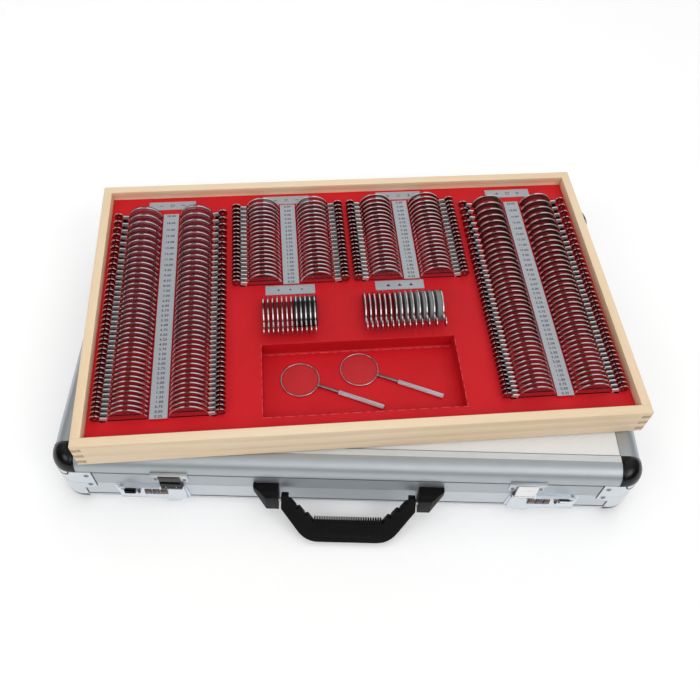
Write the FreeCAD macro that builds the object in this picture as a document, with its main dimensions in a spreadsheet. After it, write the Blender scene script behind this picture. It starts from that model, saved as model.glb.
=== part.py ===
"""Trial lens case: a wooden tray of trial lenses resting on its closed aluminium carrying case.

Millimetres. The origin is the centre of the case's underside, +Z is up, +X to the right and +Y to
the back, so the handle and the latches face -Y. Positions on the tray are in the tray's own frame,
whose origin is the centre of its underside, and each tray piece is placed from there.
"""

import FreeCAD, Part
import os
import re

import Sketcher

SIZES = {
    # carrying case
    "case_width": 558,
    "case_depth": 362,
    "edge_radius": 16.5,
    "lid_band": 22,
    "base_band": 25.5,
    "seam": 0.3,
    "rail_flange": 23.5,
    "rail_wall": 1.6,
    "rail_groove": 0.8,
    "panel_thickness": 3,
    "panel_tuck": 7,
    "panel_field": 0.4,
    "panel_gap": 0.5,
    "lining_inset": 10,
    "lining_wall": 1.5,
    "lining_depth_lid": 33,
    "lining_depth_base": 36.8,
    # corners
    "corner_radius": 20,
    "cap_proud": 0.8,
    "cap_wall": 9.5,
    "cap_top_wall": 15,
    "plate_skin": 0.8,
    "plate_reach": 37.5,
    "plate_foot": 25,
    "plate_tab": 6,
    "plate_slant": 5.5,
    # rear hinges
    "hinge_place": 165,
    "hinge_length": 40,
    "hinge_middle": 20,
    "hinge_leaf": 1.2,
    "leaf_height": 18,
    "knuckle_radius": 3,
    "knuckle_offset": 3.2,
    "knuckle_gap": 0.4,
    "knuckle_play": 0.2,
    "hinge_pin_radius": 1.4,
    "pin_press": 0.01,
    "pin_play": 0.05,
    # latches, right-hand one; the left one is its mirror image
    "latch_place": 169,
    "catch_width": 34.5,
    "catch_skin": 1.2,
    "catch_foot": 51,
    "catch_lip": 67.2,
    "lip_reach": 3.6,
    "lip_skin": 1.2,
    "keeper_height": 55,
    "keeper_skin": 1.6,
    "keeper_reach": 2.4,
    "keeper_width": 12,
    "lock_left": 157,
    "lock_right": 221,
    "lock_foot": 17,
    "lock_top": 39.2,
    "lock_skin": 3.5,
    "lock_ear": 2.5,
    "ear_skin": 1,
    "lobe_left": 163,
    "lobe_right": 179,
    "lobe_foot": 11.5,
    "lobe_round": 3,
    "hasp_width": 19.6,
    "hasp_skin": 1.2,
    "hasp_top": 65.3,
    "hasp_axis_out": 2.6,
    "hasp_axis_height": 40.4,
    "hasp_knuckle": 1.9,
    "hasp_pin_radius": 1,
    "hook_height": 57,
    "hook_skin": 1.4,
    "hook_reach": 1.1,
    "hook_width": 11,
    "lug_skin": 1.4,
    "lug_radius": 2.2,
    "lug_gap": 0.2,
    "dial_radius": 5.5,
    "dial_width": 6.2,
    "dial_pitch": 7.5,
    "dial_first": 177.8,
    "dial_height": 31.8,
    "dial_axis_out": 0.2,
    "dial_axle_radius": 0.9,
    "dial_room": 0.3,
    "window_room": 4.1,
    "bearing_gap": 0.5,
    "bearing_width": 2.8,
    "bearing_half": 3,
    "knob_left": 204.5,
    "knob_width": 10,
    "knob_foot": 32.6,
    "knob_height": 5.8,
    "knob_reach": 3.4,
    "knob_travel": 4.5,
    # handle
    "bracket_left": 67,
    "bracket_right": 91,
    "bracket_foot": 22,
    "bracket_top": 51.5,
    "bracket_reach": 14,
    "bracket_nose": 12,
    "pivot_out": 10,
    "pivot_height": 36,
    "pivot_radius": 2,
    "pin_seat": 8,
    "handle_slope": 50,
    "handle_half": 64.5,
    "boss_radius": 6,
    "arm_width": 7,
    "grip_inner": 22,
    "grip_outer": 44,
    "grip_half": 36,
    "grip_thickness": 12,
    "grip_round": 4.5,
    "knee_drop": 8,
    "knee_out": 7.5,
    "knee_rise": 5.5,
    "toe_out": 4.5,
    "toe_rise": 1.5,
    "arm_foot": 3,
    # wooden tray
    "tray_width": 530,
    "tray_depth": 324,
    "tray_height": 36,
    "tray_wall": 9,
    "tray_round": 3,
    "tray_turn": 5.66,
    "tray_right": 0.24,
    "tray_back": 4.65,
    "board_lift": 1,
    "board_skin": 3,
    "insert_top": 25.1,
    "insert_room": 0.2,
    "tile_side": 120,
    "tile_split": -46,
    "ridge_height": 2.3,
    "strip_width": 16.4,
    "strip_front": 1.5,
    "strip_rear": 4,
    "groove_front": 2.5,
    "groove_rear": 3,
    "label_skin": 0.6,
    "header_length": 51,
    "header_width": 12,
    "well_half": 96,
    "well_front": -137.5,
    "well_rear": -55,
    "well_floor": 8,
    # trial lenses
    "lens_radius": 19,
    "lens_height": 24.5,
    "groove_room": 0.3,
    "rim_thickness": 2,
    "tab_half": 2.6,
    "tab_end_half": 5.2,
    "tab_end": 34,
    "tab_angle": 12,
    "loose_tab_angle": 22,
    "column_offset": 27.8,
    "sphere_place": 190.6,
    "cylinder_place": 63.2,
    "sphere_front": -132,
    "cylinder_front": 20,
    "sphere_pitch": 5,
    "cylinder_pitch": 5.25,
    "power_pitch": 5.6,
    "loose_row": -18.3,
    "accessory_left": -91.3,
    "accessory_pitch": 4.64,
    "prism_left": 10.4,
    "prism_pitch": 4.89,
    "prism_wall": 4.6,
    "prism_spread": 4.3,
    # cross cylinders
    "ring_radius": 19.5,
    "ring_inner": 17.6,
    "ring_height": 2.4,
    "glass_height": 1.2,
    "stem_radius": 1.2,
    "stem_length": 21,
    "grip_bar_radius": 2,
    "grip_bar_length": 46,
    "left_ring_x": -59.7,
    "left_ring_y": -88,
    "right_ring_x": -0.8,
    "right_ring_y": -79.7,
    "ring_turn": -25,
}

SPHERE_POWERS = [20, 18, 16, 15, 14, 13, 12, 11, 10] + [9.5 - 0.5 * k for k in range(8)]
SPHERE_POWERS += [5.75 - 0.25 * k for k in range(23)]
CYLINDER_POWERS = [6, 5.5, 5, 4.5, 4] + [3.75 - 0.25 * k for k in range(15)]
PRISM_POWERS = [0.5 * k for k in range(1, 11)] + [6, 7, 8, 10]
ACCESSORY_COUNT = 12

# heights that follow from the case's own sizes
SPLIT = "(edge_radius + base_band)"
TOP = "(2 * edge_radius + base_band + lid_band)"
HALF_W = "(case_width / 2)"
HALF_D = "(case_depth / 2)"
FACE = "(-case_depth / 2)"

doc = FreeCAD.newDocument("trial_lens_case")
sheet = doc.addObject("Spreadsheet::Sheet", "Sizes")
for index, (alias, size) in enumerate(SIZES.items(), start=1):
    sheet.set(f"A{index}", alias)
    sheet.set(f"B{index}", str(size))
    sheet.setAlias(f"B{index}", alias)
doc.recompute()

nodes = []


def bound(expression):
    """The expression with each size named in the sheet it comes from."""
    return re.sub(
        r"[a-z_]+", lambda word: f"Sizes.{word[0]}" if word[0] in SIZES else word[0], expression
    )


def value(expression):
    """The expression's number now."""
    return float(sheet.evalExpression(expression))


def node(thing, label):
    """Marks an object as one of the case's sub-parts."""
    thing.Label = label
    nodes.append(thing)
    return thing


def new_body(name):
    return doc.addObject("PartDesign::Body", name)


def drawing_on(body, role, paths, offset):
    """A sketch on one of the body's own planes, moved along its normal.

    A path is a list of corners (x, y), or (x, y, radius, turn) where an arc leads to the corner and
    turn is 1 for a left-hand and -1 for a right-hand arc. A path of one (x, y, radius) is a circle.
    """
    plane = next(f for f in body.Origin.OriginFeatures if f.Role == role)
    drawing = body.newObject("Sketcher::SketchObject", f"{body.Name}_outline")
    drawing.AttachmentSupport = [(plane, "")]
    drawing.MapMode = "FlatFace"
    drawing.setExpression(".AttachmentOffset.Base.z", bound(offset))
    for path in paths:
        if len(path) == 1:
            draw_circle(drawing, *path[0])
        else:
            draw_outline(drawing, path)
    return drawing


def hold(drawing, kind, place, expression):
    """One dimension of the sketch, bound to the sizes."""
    index = drawing.addConstraint(Sketcher.Constraint(kind, *place, value(expression)))
    drawing.setExpression(f"Constraints[{index}]", bound(expression))


def draw_circle(drawing, x, y, radius):
    circle = Part.Circle(FreeCAD.Vector(value(x), value(y), 0), FreeCAD.Vector(0, 0, 1), value(radius))
    place = drawing.addGeometry(circle, False)
    hold(drawing, "DistanceX", (place, 3), x)
    hold(drawing, "DistanceY", (place, 3), y)
    hold(drawing, "Radius", (place,), radius)


def draw_outline(drawing, path):
    corners = [FreeCAD.Vector(value(corner[0]), value(corner[1]), 0) for corner in path]
    ends = []
    for index, corner in enumerate(path):
        start, end = corners[index - 1], corners[index]
        if len(corner) == 2:
            place = drawing.addGeometry(Part.LineSegment(start, end), False)
            ends.append((place, 1, 2))
        else:
            radius, turn = value(corner[2]), corner[3]
            half = (end - start) * 0.5
            rise = max(radius**2 - half.Length**2, 0) ** 0.5
            across = FreeCAD.Vector(-half.y, half.x, 0).normalize() * rise * turn
            centre = start + half + across
            angles = [FreeCAD.Vector(1, 0, 0).getAngle(p - centre) for p in (start, end)]
            angles = [-a if p.y < centre.y else a for a, p in zip(angles, (start, end))]
            if turn < 0:
                angles.reverse()
            circle = Part.Circle(centre, FreeCAD.Vector(0, 0, 1), radius)
            place = drawing.addGeometry(Part.ArcOfCircle(circle, *angles), False)
            ends.append((place, 1, 2) if turn > 0 else (place, 2, 1))
            hold(drawing, "Radius", (place,), corner[2])
    for index, corner in enumerate(path):
        place, _, last = ends[index]
        following, first, _ = ends[(index + 1) % len(path)]
        drawing.addConstraint(Sketcher.Constraint("Coincident", place, last, following, first))
        hold(drawing, "DistanceX", (place, last), corner[0])
        hold(drawing, "DistanceY", (place, last), corner[1])


PLANES = {"x": "YZ_Plane", "y": "XZ_Plane", "z": "XY_Plane"}


def add(body, axis, paths, low, high):
    """Material along an axis from low to high. The XZ plane's normal points to -Y."""
    start = f"-({high})" if axis == "y" else low
    drawing = drawing_on(body, PLANES[axis], paths, start)
    pad = body.newObject("PartDesign::Pad", f"{body.Name}_pad")
    pad.Profile = drawing
    pad.setExpression("Length", bound(f"({high}) - ({low})"))
    return pad


def cut(body, axis, paths, low, high):
    """Material taken out along an axis from low to high."""
    start = f"-({low})" if axis == "y" else high
    drawing = drawing_on(body, PLANES[axis], paths, start)
    pocket = body.newObject("PartDesign::Pocket", f"{body.Name}_pocket")
    pocket.Profile = drawing
    pocket.setExpression("Length", bound(f"({high}) - ({low})"))
    return pocket


def dress(body, kind, size_name, size, chosen):
    """A fillet or chamfer on the edges that the test picks."""
    doc.recompute()
    base = body.Tip
    names = [f"Edge{i + 1}" for i, edge in enumerate(base.Shape.Edges) if chosen(edge)]
    feature = body.newObject(f"PartDesign::{kind}", f"{body.Name}_{kind.lower()}")
    feature.Base = (base, names)
    feature.setExpression(size_name, bound(size))
    return feature


def round_off(body, radius, chosen):
    """Rounds the edges that the test picks."""
    return dress(body, "Fillet", "Radius", radius, chosen)


def bevel(body, size, chosen):
    """Cuts off the edges that the test picks, by the same length on both sides."""
    return dress(body, "Chamfer", "Size", size, chosen)


def rectangle(left, right, low, high):
    return [(left, low), (right, low), (right, high), (left, high)]


def chords(x, y, radius, start, end, count):
    """Corners on an arc about (x, y), from the start to the end angle in degrees."""
    corners = []
    for index in range(count + 1):
        turn = f"{start + (end - start) * index / count:g} deg"
        corners.append((f"{x} + ({radius}) * cos({turn})", f"{y} + ({radius}) * sin({turn})"))
    return corners


def polygon(x, y, radius, sides):
    """A regular outline with its corners on a circle."""
    return chords(x, y, radius, 0, 360, sides)[:-1]


def polygon_round(x, y, radius, sides):
    """A regular outline with its sides' middles on a circle, so that a bar of that radius turns in it."""
    return polygon(x, y, f"({radius}) / cos({180 / sides:g} deg)", sides)


def block(name, left, right, front, rear, low, high):
    box = doc.addObject("Part::Box", name)
    for side, (start, end) in zip(("Length", "Width", "Height"), ((left, right), (front, rear), (low, high))):
        box.setExpression(side, bound(f"({end}) - ({start})"))
    for axis, start in zip("xyz", (left, front, low)):
        box.setExpression(f".Placement.Base.{axis}", bound(start))
    return box


def mirrored(name, source, normal):
    mirror = doc.addObject("Part::Mirroring", name)
    mirror.Source = source
    mirror.Normal = normal
    return mirror


def group(name, things):
    """Separate solids of one sub-part."""
    compound = doc.addObject("Part::Compound", name)
    compound.Links = things
    return compound


def left_and_right(name, right):
    return group(name, [right, mirrored(f"{name}_left", right, FreeCAD.Vector(1, 0, 0))])


def four_corners(name, corner):
    """The front right corner piece with its three mirror images."""
    front = left_and_right(f"{name}_front", corner)
    return group(name, [front, mirrored(f"{name}_rear", front, FreeCAD.Vector(0, 1, 0))])


def on_tray(thing):
    """Sets a piece made in the tray's frame on the lid, turned as the tray lies."""
    for axis, place in zip("xyz", ("tray_right", "tray_back", TOP)):
        thing.setExpression(f".Placement.Base.{axis}", bound(place))
    thing.setExpression(".Placement.Rotation.Angle", bound("tray_turn * 1 deg"))
    return thing


def from_shell(shell, depth):
    """The height of a point that lies this deep in the lid or the base, from its outer flat side."""
    return f"({TOP} - ({depth}))" if shell == "lid" else f"({depth})"


# rails: one extruded section with a flange, a rounded edge and a band that ends at the seam


def rail_section(shell, half, side):
    """The section across a rail; side is 1 or -1 for the side of the case that it is on."""
    turn = side * (1 if shell == "lid" else -1)
    rim = f"edge_radius + {shell}_band - seam / 2"
    inner = "(edge_radius - rail_wall)"

    def at(inset, depth):
        return (f"{side} * ({half} - ({inset}))", from_shell(shell, depth))

    def bend(turned):
        sideways = f"edge_radius - {inner} * sin({turned} deg)"
        return at(sideways, f"edge_radius - {inner} * cos({turned} deg)")

    return [
        at("0", rim),
        at("0", "edge_radius + rail_groove"),
        at("rail_groove / 2", "edge_radius + rail_groove / 2"),
        at("0", "edge_radius"),
        (*at("edge_radius", "0"), "edge_radius", turn),
        at("rail_flange", "0"),
        at("rail_flange", "rail_wall"),
        at("edge_radius", "rail_wall"),
        *(bend(turned) for turned in (30, 60)),
        at("rail_wall", "edge_radius"),
        at("rail_wall", rim),
    ]


def make_rails(shell):
    for name, side in (("front", -1), ("rear", 1)):
        rail = new_body(f"{shell}_{name}_rail")
        reach = f"({HALF_W} - rail_flange)"
        add(rail, "x", [rail_section(shell, HALF_D, side)], f"-{reach}", reach)
        if shell == "base" and name == "front":
            cut_lock_windows(rail)
        node(rail, f"{shell}_{name}_rail")
    # the XZ plane shows x to the right and z up
    side_rail = new_body(f"{shell}_side_rail")
    reach = f"({HALF_D} - rail_flange)"
    add(side_rail, "y", [rail_section(shell, HALF_W, 1)], f"-{reach}", reach)
    node(left_and_right(f"{shell}_side_rails", side_rail), f"{shell}_side_rails")


LOCK_WINDOW = rectangle(
    "dial_first - dial_width / 2 - window_room",
    "dial_first + 2 * dial_pitch + dial_width / 2 + window_room",
    "dial_height - dial_radius - 2 * dial_room",
    "dial_height + dial_radius + 2 * dial_room",
)


def flipped(path):
    return [(f"-({corner[0]})", corner[1]) for corner in path]


def cut_lock_windows(rail):
    """The openings in the front rail that take the locks' dials."""
    cut(rail, "y", [LOCK_WINDOW, flipped(LOCK_WINDOW)], f"{FACE} - 1", f"{FACE} + rail_wall + 1")


# panels, linings, corner caps and corner plates of a shell


def make_panel(shell):
    """A sheet whose edges lie under the rail flanges, with its field pressed out between them."""
    panel = new_body(f"{shell}_panel")

    def layer(inset, start, end):
        across, along = f"({HALF_W} - rail_flange + {inset})", f"({HALF_D} - rail_flange + {inset})"
        ends = sorted((from_shell(shell, start), from_shell(shell, end)), key=value)
        add(panel, "z", [rectangle(f"-{across}", across, f"-{along}", along)], *ends)

    layer("panel_tuck", "rail_wall", "rail_wall + panel_thickness")
    layer("(-panel_gap)", "rail_wall - panel_field", "rail_wall + panel_thickness / 2")
    node(panel, f"{shell}_panel")


def make_lining(shell):
    """An open lining box that leaves room for the tray inside the closed case."""
    floor = "rail_wall + panel_thickness"
    deep = f"{floor} + lining_depth_{shell}"

    def box(name, inset, start, end):
        depths = [start, end] if shell == "base" else [end, start]
        low, high = (from_shell(shell, depth) for depth in depths)
        across, along = f"({HALF_W} - ({inset}))", f"({HALF_D} - ({inset}))"
        return block(name, f"-{across}", across, f"-{along}", along, low, high)

    lining = doc.addObject("Part::Cut", f"{shell}_lining")
    lining.Base = box(f"{shell}_lining_outside", "lining_inset", floor, deep)
    lining.Tool = box(
        f"{shell}_lining_inside", "lining_inset + lining_wall", f"{floor} + lining_wall", f"{deep} + 1"
    )
    node(lining, f"{shell}_lining")


def make_corner_caps(shell):
    """A moulded ball corner, rounded in three facets, that closes the gap between two rails."""
    cap = new_body(f"{shell}_cap")
    left, rear = f"({HALF_W} - rail_flange)", f"(-({HALF_D} - rail_flange))"
    centre = (f"({HALF_W} - corner_radius)", f"(-({HALF_D} - corner_radius))")
    corner = chords(*centre, "corner_radius + cap_proud", -90, 0, 3)
    plan = [(left, corner[0][1]), *corner, (corner[-1][0], rear), (left, rear)]
    ends = sorted((from_shell(shell, "0"), from_shell(shell, "edge_radius")), key=value)
    add(cap, "z", [plan], *ends)
    tangent = "(edge_radius * (tan(22.5 deg) - tan(11.25 deg)))"
    x_limit, y_limit = value(left) + 1e-3, value(rear) - 1e-3

    def outer_edge_at(depth):
        height = value(from_shell(shell, depth))

        def test(edge):
            middle = edge.BoundBox.Center
            level = edge.BoundBox.ZLength < 1e-3 and abs(middle.z - height) < 1e-3
            return level and middle.x > x_limit and middle.y < y_limit

        return test

    bevel(cap, "edge_radius * (2 - sqrt(2))", outer_edge_at("0"))
    bevel(cap, tangent, outer_edge_at("0"))
    bevel(cap, tangent, outer_edge_at("edge_radius * (2 - sqrt(2))"))
    hollows = (
        ("cap_top_wall", "rail_wall", "rail_wall + panel_thickness + 0.2"),
        ("cap_wall", "rail_wall + panel_thickness - 0.2", "edge_radius + 1"),
    )
    for wall, start, end in hollows:
        room = rectangle(f"{left} - 1", f"{HALF_W} - {wall}", f"-({HALF_D} - {wall})", f"{rear} + 1")
        depths = [from_shell(shell, depth) for depth in (start, end)]
        cut(cap, "z", [room], *sorted(depths, key=value))
    node(four_corners(f"{shell}_corner_caps", cap), f"{shell}_corner_caps")


def make_corner_plates(shell):
    """A thin steel plate folded round the upright corner, over the ends of two rail bands."""
    plate = new_body(f"{shell}_plate")
    centre = (f"({HALF_W} - corner_radius)", f"(-({HALF_D} - corner_radius))")
    strip = [
        (f"{HALF_W} - plate_reach", f"-({HALF_D} + plate_skin)"),
        *chords(*centre, "corner_radius + plate_skin", -90, 0, 3),
        (f"{HALF_W} + plate_skin", f"-({HALF_D} - plate_reach)"),
        (HALF_W, f"-({HALF_D} - plate_reach)"),
        *chords(*centre, "corner_radius", 0, -90, 3),
        (f"{HALF_W} - plate_reach", FACE),
    ]
    if shell == "lid":
        add(plate, "z", [strip], f"{SPLIT} + seam / 2", f"{TOP} - edge_radius")
    else:
        add(plate, "z", [strip], "edge_radius", f"{SPLIT} - seam / 2")
        foot = f"{SPLIT} - plate_tab"
        for axis, half in (("y", HALF_W), ("x", HALF_D)):
            side = "1" if axis == "y" else "-1"
            waste = [
                (f"{side} * ({half} - plate_foot)", "edge_radius - 1"),
                (f"{side} * ({half} - plate_foot)", f"{foot} - plate_slant"),
                (f"{side} * ({half} - plate_reach - 1)", foot),
                (f"{side} * ({half} - plate_reach - 1)", "edge_radius - 1"),
            ]
            low, high = (
                (f"{FACE} - 2", f"{FACE} + 2") if axis == "y" else (f"{HALF_W} - 2", f"{HALF_W} + 2")
            )
            cut(plate, axis, [waste], low, high)
    node(four_corners(f"{shell}_corner_plates", plate), f"{shell}_corner_plates")


# rear hinges: two knuckles on the base leaf, one between them on the lid leaf

HINGE_Y = f"({HALF_D} + knuckle_offset)"


def make_hinge_leaf(shell):
    leaf = new_body(f"{shell}_hinge_leaf")
    up = 1 if shell == "lid" else -1
    gap = "(knuckle_radius + knuckle_gap)"

    def band(near, far):
        ends = sorted((f"{SPLIT} + {up} * ({near})", f"{SPLIT} + {up} * ({far})"), key=value)
        return rectangle(HALF_D, f"{HALF_D} + hinge_leaf", *ends)

    ends = ("hinge_place - hinge_length / 2", "hinge_place + hinge_length / 2")
    add(leaf, "x", [band(gap, "leaf_height")], *ends)
    middle = ("hinge_place - hinge_middle / 2", "hinge_place + hinge_middle / 2")
    if shell == "lid":
        spans = [(f"{middle[0]} + knuckle_play", f"{middle[1]} - knuckle_play")]
        bore = "hinge_pin_radius + pin_play"
    else:
        spans = [(ends[0], middle[0]), (middle[1], ends[1])]
        bore = "hinge_pin_radius + pin_press"
    for low, high in spans:
        add(leaf, "x", [band("0", f"{gap} + knuckle_play")], low, high)
        add(leaf, "x", [polygon(HINGE_Y, SPLIT, "knuckle_radius", 8)], low, high)
        hole = polygon_round(HINGE_Y, SPLIT, bore, 8)
        cut(leaf, "x", [hole], f"{low} - 0.1", f"{high} + 0.1")
    name = f"hinge_{shell}_leaves"
    node(left_and_right(name, leaf), name)


def make_hinge_pins():
    pin = new_body("hinge_pin")
    low, high = ("hinge_place - hinge_length / 2", "hinge_place + hinge_length / 2")
    add(pin, "x", [[(HINGE_Y, SPLIT, "hinge_pin_radius")]], low, high)
    node(left_and_right("hinge_pins", pin), "hinge_pins")


# latches: a catch plate on the lid, and on the base a lock with a hasp, a slide button and dials

LOCK_FACE = f"({FACE} - lock_skin)"
HASP_Y = f"({FACE} - hasp_axis_out)"
DIAL_Y = f"({FACE} - dial_axis_out)"
HASP_ENDS = ("latch_place - hasp_width / 2", "latch_place + hasp_width / 2")


def both_hands(name, right):
    """A latch piece and its mirror image on the left, as two sub-parts."""
    node(right, f"latch_right_{name}")
    node(mirrored(f"left_{name}", right, FreeCAD.Vector(1, 0, 0)), f"latch_left_{name}")


def make_catch_plates():
    plate = new_body("catch_plate")
    section = [
        (FACE, "catch_foot"),
        (FACE, "catch_lip"),
        (f"{FACE} - lip_reach", "catch_lip"),
        (f"{FACE} - lip_reach", "catch_lip - lip_skin"),
        (f"{FACE} - catch_skin", "catch_lip - lip_skin"),
        (f"{FACE} - catch_skin", "catch_foot"),
    ]
    ends = ("latch_place - catch_width / 2", "latch_place + catch_width / 2")
    add(plate, "x", [section], *ends)
    keeper = rectangle(
        f"{FACE} - keeper_reach",
        f"{FACE} - catch_skin + 0.1",
        "keeper_height",
        "keeper_height + keeper_skin",
    )
    ends = ("latch_place - keeper_width / 2", "latch_place + keeper_width / 2")
    add(plate, "x", [keeper], *ends)
    node(left_and_right("latch_catch_plates", plate), "latch_catch_plates")


def make_lock_housing():
    housing = new_body("lock_housing")
    ear = "lock_ear"
    flange = [
        (f"lock_left - {ear}", "lock_foot - 1.5"),
        ("lock_left + 8", "lock_foot - 1.5"),
        ("lock_left + 8", "lock_foot"),
        (f"lock_right + {ear} - 5", "lock_foot"),
        (f"lock_right + {ear}", "lock_foot + 12"),
        (f"lock_right + {ear}", "lock_top"),
        ("lock_left", "lock_top"),
        (f"lock_left - {ear}", "lock_foot + 8"),
    ]
    add(housing, "y", [flange], f"{FACE} - ear_skin", FACE)
    block_outline = rectangle("lock_left", "lock_right", "lock_foot", "lock_top")
    add(housing, "y", [block_outline], LOCK_FACE, FACE)
    lobe = [
        ("lobe_left", "lock_foot + 1"),
        *chords("lobe_left + lobe_round", "lobe_foot + lobe_round", "lobe_round", 180, 270, 2),
        *chords("lobe_right - lobe_round", "lobe_foot + lobe_round", "lobe_round", 270, 360, 2),
        ("lobe_right", "lock_foot + 1"),
    ]
    add(housing, "y", [lobe], LOCK_FACE, f"{FACE} - 0.4")
    slots = []
    for count in range(3):
        middle = f"dial_first + {count} * dial_pitch"
        room = "(dial_radius + dial_room)"
        slots.append(
            rectangle(
                f"{middle} - dial_width / 2 - dial_room",
                f"{middle} + dial_width / 2 + dial_room",
                f"dial_height - {room}",
                f"dial_height + {room}",
            )
        )
    cut(housing, "y", slots, f"{LOCK_FACE} - 1", f"{FACE} + 1")
    track = rectangle(
        "knob_left + 1",
        "knob_left + knob_width - 1 + knob_travel + 0.5",
        "knob_foot + 1",
        "knob_foot + knob_height - 1",
    )
    cut(housing, "y", [track], f"{LOCK_FACE} - 1", f"{FACE} - lock_skin / 2")
    notch = rectangle(f"{FACE} - 10", f"{FACE} + 1", "hasp_axis_height - 2.6", "lock_top + 1")
    near, far = f"{HASP_ENDS[0]} - lug_gap", f"{HASP_ENDS[1]} + lug_gap"
    cut(housing, "x", [notch], near, far)
    for low, high in ((f"{near} - lug_skin", near), (far, f"{far} + lug_skin")):
        stalk = rectangle(f"{HASP_Y} - 1.6", f"{HASP_Y} + 1.6", "lock_top - 1", "hasp_axis_height")
        add(housing, "x", [stalk], low, high)
        add(housing, "x", [polygon(HASP_Y, "hasp_axis_height", "lug_radius", 8)], low, high)
        hole = polygon_round(HASP_Y, "hasp_axis_height", "hasp_pin_radius + pin_press", 8)
        cut(housing, "x", [hole], f"{low} - 0.1", f"{high} + 0.1")
    near = "dial_first - dial_width / 2 - bearing_gap"
    far = "dial_first + 2 * dial_pitch + dial_width / 2 + bearing_gap"
    bearing = rectangle(
        f"{FACE} - 1",
        f"{FACE} + rail_wall + 0.8",
        "dial_height - bearing_half",
        "dial_height + bearing_half",
    )
    add(housing, "x", [bearing], f"{near} - bearing_width", near)
    add(housing, "x", [bearing], far, f"{far} + bearing_width")
    hole = polygon_round(DIAL_Y, "dial_height", "dial_axle_radius + pin_press", 8)
    cut(housing, "x", [hole], f"{near} - bearing_width", f"{far} + bearing_width")
    both_hands("housing", housing)


def make_hasp():
    hasp = new_body("hasp")
    back = f"({FACE} - 4)"
    flap = [
        (back, "hasp_axis_height"),
        (f"{back} + 0.2", "hasp_top"),
        (f"{back} + 0.2 + hasp_skin", "hasp_top"),
        (f"{back} + hasp_skin", "hasp_axis_height"),
    ]
    add(hasp, "x", [flap], *HASP_ENDS)
    add(hasp, "x", [polygon(HASP_Y, "hasp_axis_height", "hasp_knuckle", 10)], *HASP_ENDS)
    bore = polygon_round(HASP_Y, "hasp_axis_height", "hasp_pin_radius + pin_play", 8)
    cut(hasp, "x", [bore], f"{HASP_ENDS[0]} - 0.1", f"{HASP_ENDS[1]} + 0.1")
    hook = rectangle(
        f"{back} + hasp_skin - 0.2",
        f"{back} + hasp_skin + hook_reach",
        "hook_height",
        "hook_height + hook_skin",
    )
    add(hasp, "x", [hook], "latch_place - hook_width / 2", "latch_place + hook_width / 2")
    both_hands("hasp", hasp)


def make_slide_button():
    button = new_body("slide_button")
    knob = rectangle("knob_left", "knob_left + knob_width", "knob_foot", "knob_foot + knob_height")
    add(button, "y", [knob], f"{LOCK_FACE} - knob_reach", f"{LOCK_FACE} - 0.1")
    tongue = rectangle(
        "knob_left + 1.5",
        "knob_left + knob_width - 1.5",
        "knob_foot + 1.2",
        "knob_foot + knob_height - 1.2",
    )
    add(button, "y", [tongue], f"{LOCK_FACE} - 0.2", f"{LOCK_FACE} + 1.5")
    both_hands("slide_button", button)


def make_dials():
    for count in range(3):
        dial = new_body(f"dial_{count + 1}")
        middle = f"dial_first + {count} * dial_pitch"
        rim = polygon(DIAL_Y, "dial_height", "dial_radius", 16)
        bore = polygon_round(DIAL_Y, "dial_height", "dial_axle_radius + pin_play", 8)
        add(dial, "x", [rim, bore], f"{middle} - dial_width / 2", f"{middle} + dial_width / 2")
        both_hands(f"dial_{count + 1}", dial)


def make_latch_pins():
    hasp_pin = new_body("hasp_pin")
    ends = (f"{HASP_ENDS[0]} - lug_gap - lug_skin", f"{HASP_ENDS[1]} + lug_gap + lug_skin")
    add(hasp_pin, "x", [polygon(HASP_Y, "hasp_axis_height", "hasp_pin_radius", 8)], *ends)
    axle = new_body("dial_axle")
    reach = "(dial_width / 2 + bearing_gap + bearing_width)"
    ends = (f"dial_first - {reach}", f"dial_first + 2 * dial_pitch + {reach}")
    add(axle, "x", [polygon(DIAL_Y, "dial_height", "dial_axle_radius", 8)], *ends)
    node(left_and_right("latch_pins", group("right_pins", [hasp_pin, axle])), "latch_pins")


# handle with its two brackets and pivot pins

PIVOT_Y = f"({FACE} - pivot_out)"


def make_handle_brackets():
    bracket = new_body("bracket")
    plan = [
        ("bracket_left", FACE),
        ("bracket_left", f"{FACE} - bracket_reach"),
        ("bracket_left + bracket_nose", f"{FACE} - bracket_reach"),
        ("bracket_right", f"{FACE} - bracket_reach / 3"),
        ("bracket_right", FACE),
    ]
    add(bracket, "z", [plan], "bracket_foot", "bracket_top")
    slope = [
        ("bracket_right + 1", "bracket_top - 7"),
        ("bracket_left + bracket_nose", "bracket_foot - 1"),
        ("bracket_right + 1", "bracket_foot - 1"),
    ]
    cut(bracket, "y", [slope], f"{FACE} - bracket_reach - 1", f"{FACE} + 1")
    relief = rectangle(f"{FACE} - 0.4", f"{FACE} + 1", f"{SPLIT} - seam", "bracket_top + 1")
    cut(bracket, "x", [relief], "bracket_left - 1", "bracket_right + 1")
    hole = polygon_round(PIVOT_Y, "pivot_height", "pivot_radius + pin_press", 10)
    cut(bracket, "x", [hole], "bracket_left - 1", "bracket_left + pin_seat")
    nose = value(f"{FACE} - bracket_reach")
    top = value("bracket_top")

    def top_front(edge):
        middle = edge.BoundBox.Center
        return abs(middle.y - nose) < 1e-3 and abs(middle.z - top) < 1e-3

    bevel(bracket, "bracket_reach / 3", top_front)
    node(left_and_right("handle_brackets", bracket), "handle_brackets")


def make_handle_pins():
    pin = new_body("pivot_pin")
    section = [(PIVOT_Y, "pivot_height", "pivot_radius")]
    add(pin, "x", [section], "handle_half - arm_width", "bracket_left + pin_seat")
    node(left_and_right("handle_pins", pin), "handle_pins")


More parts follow.
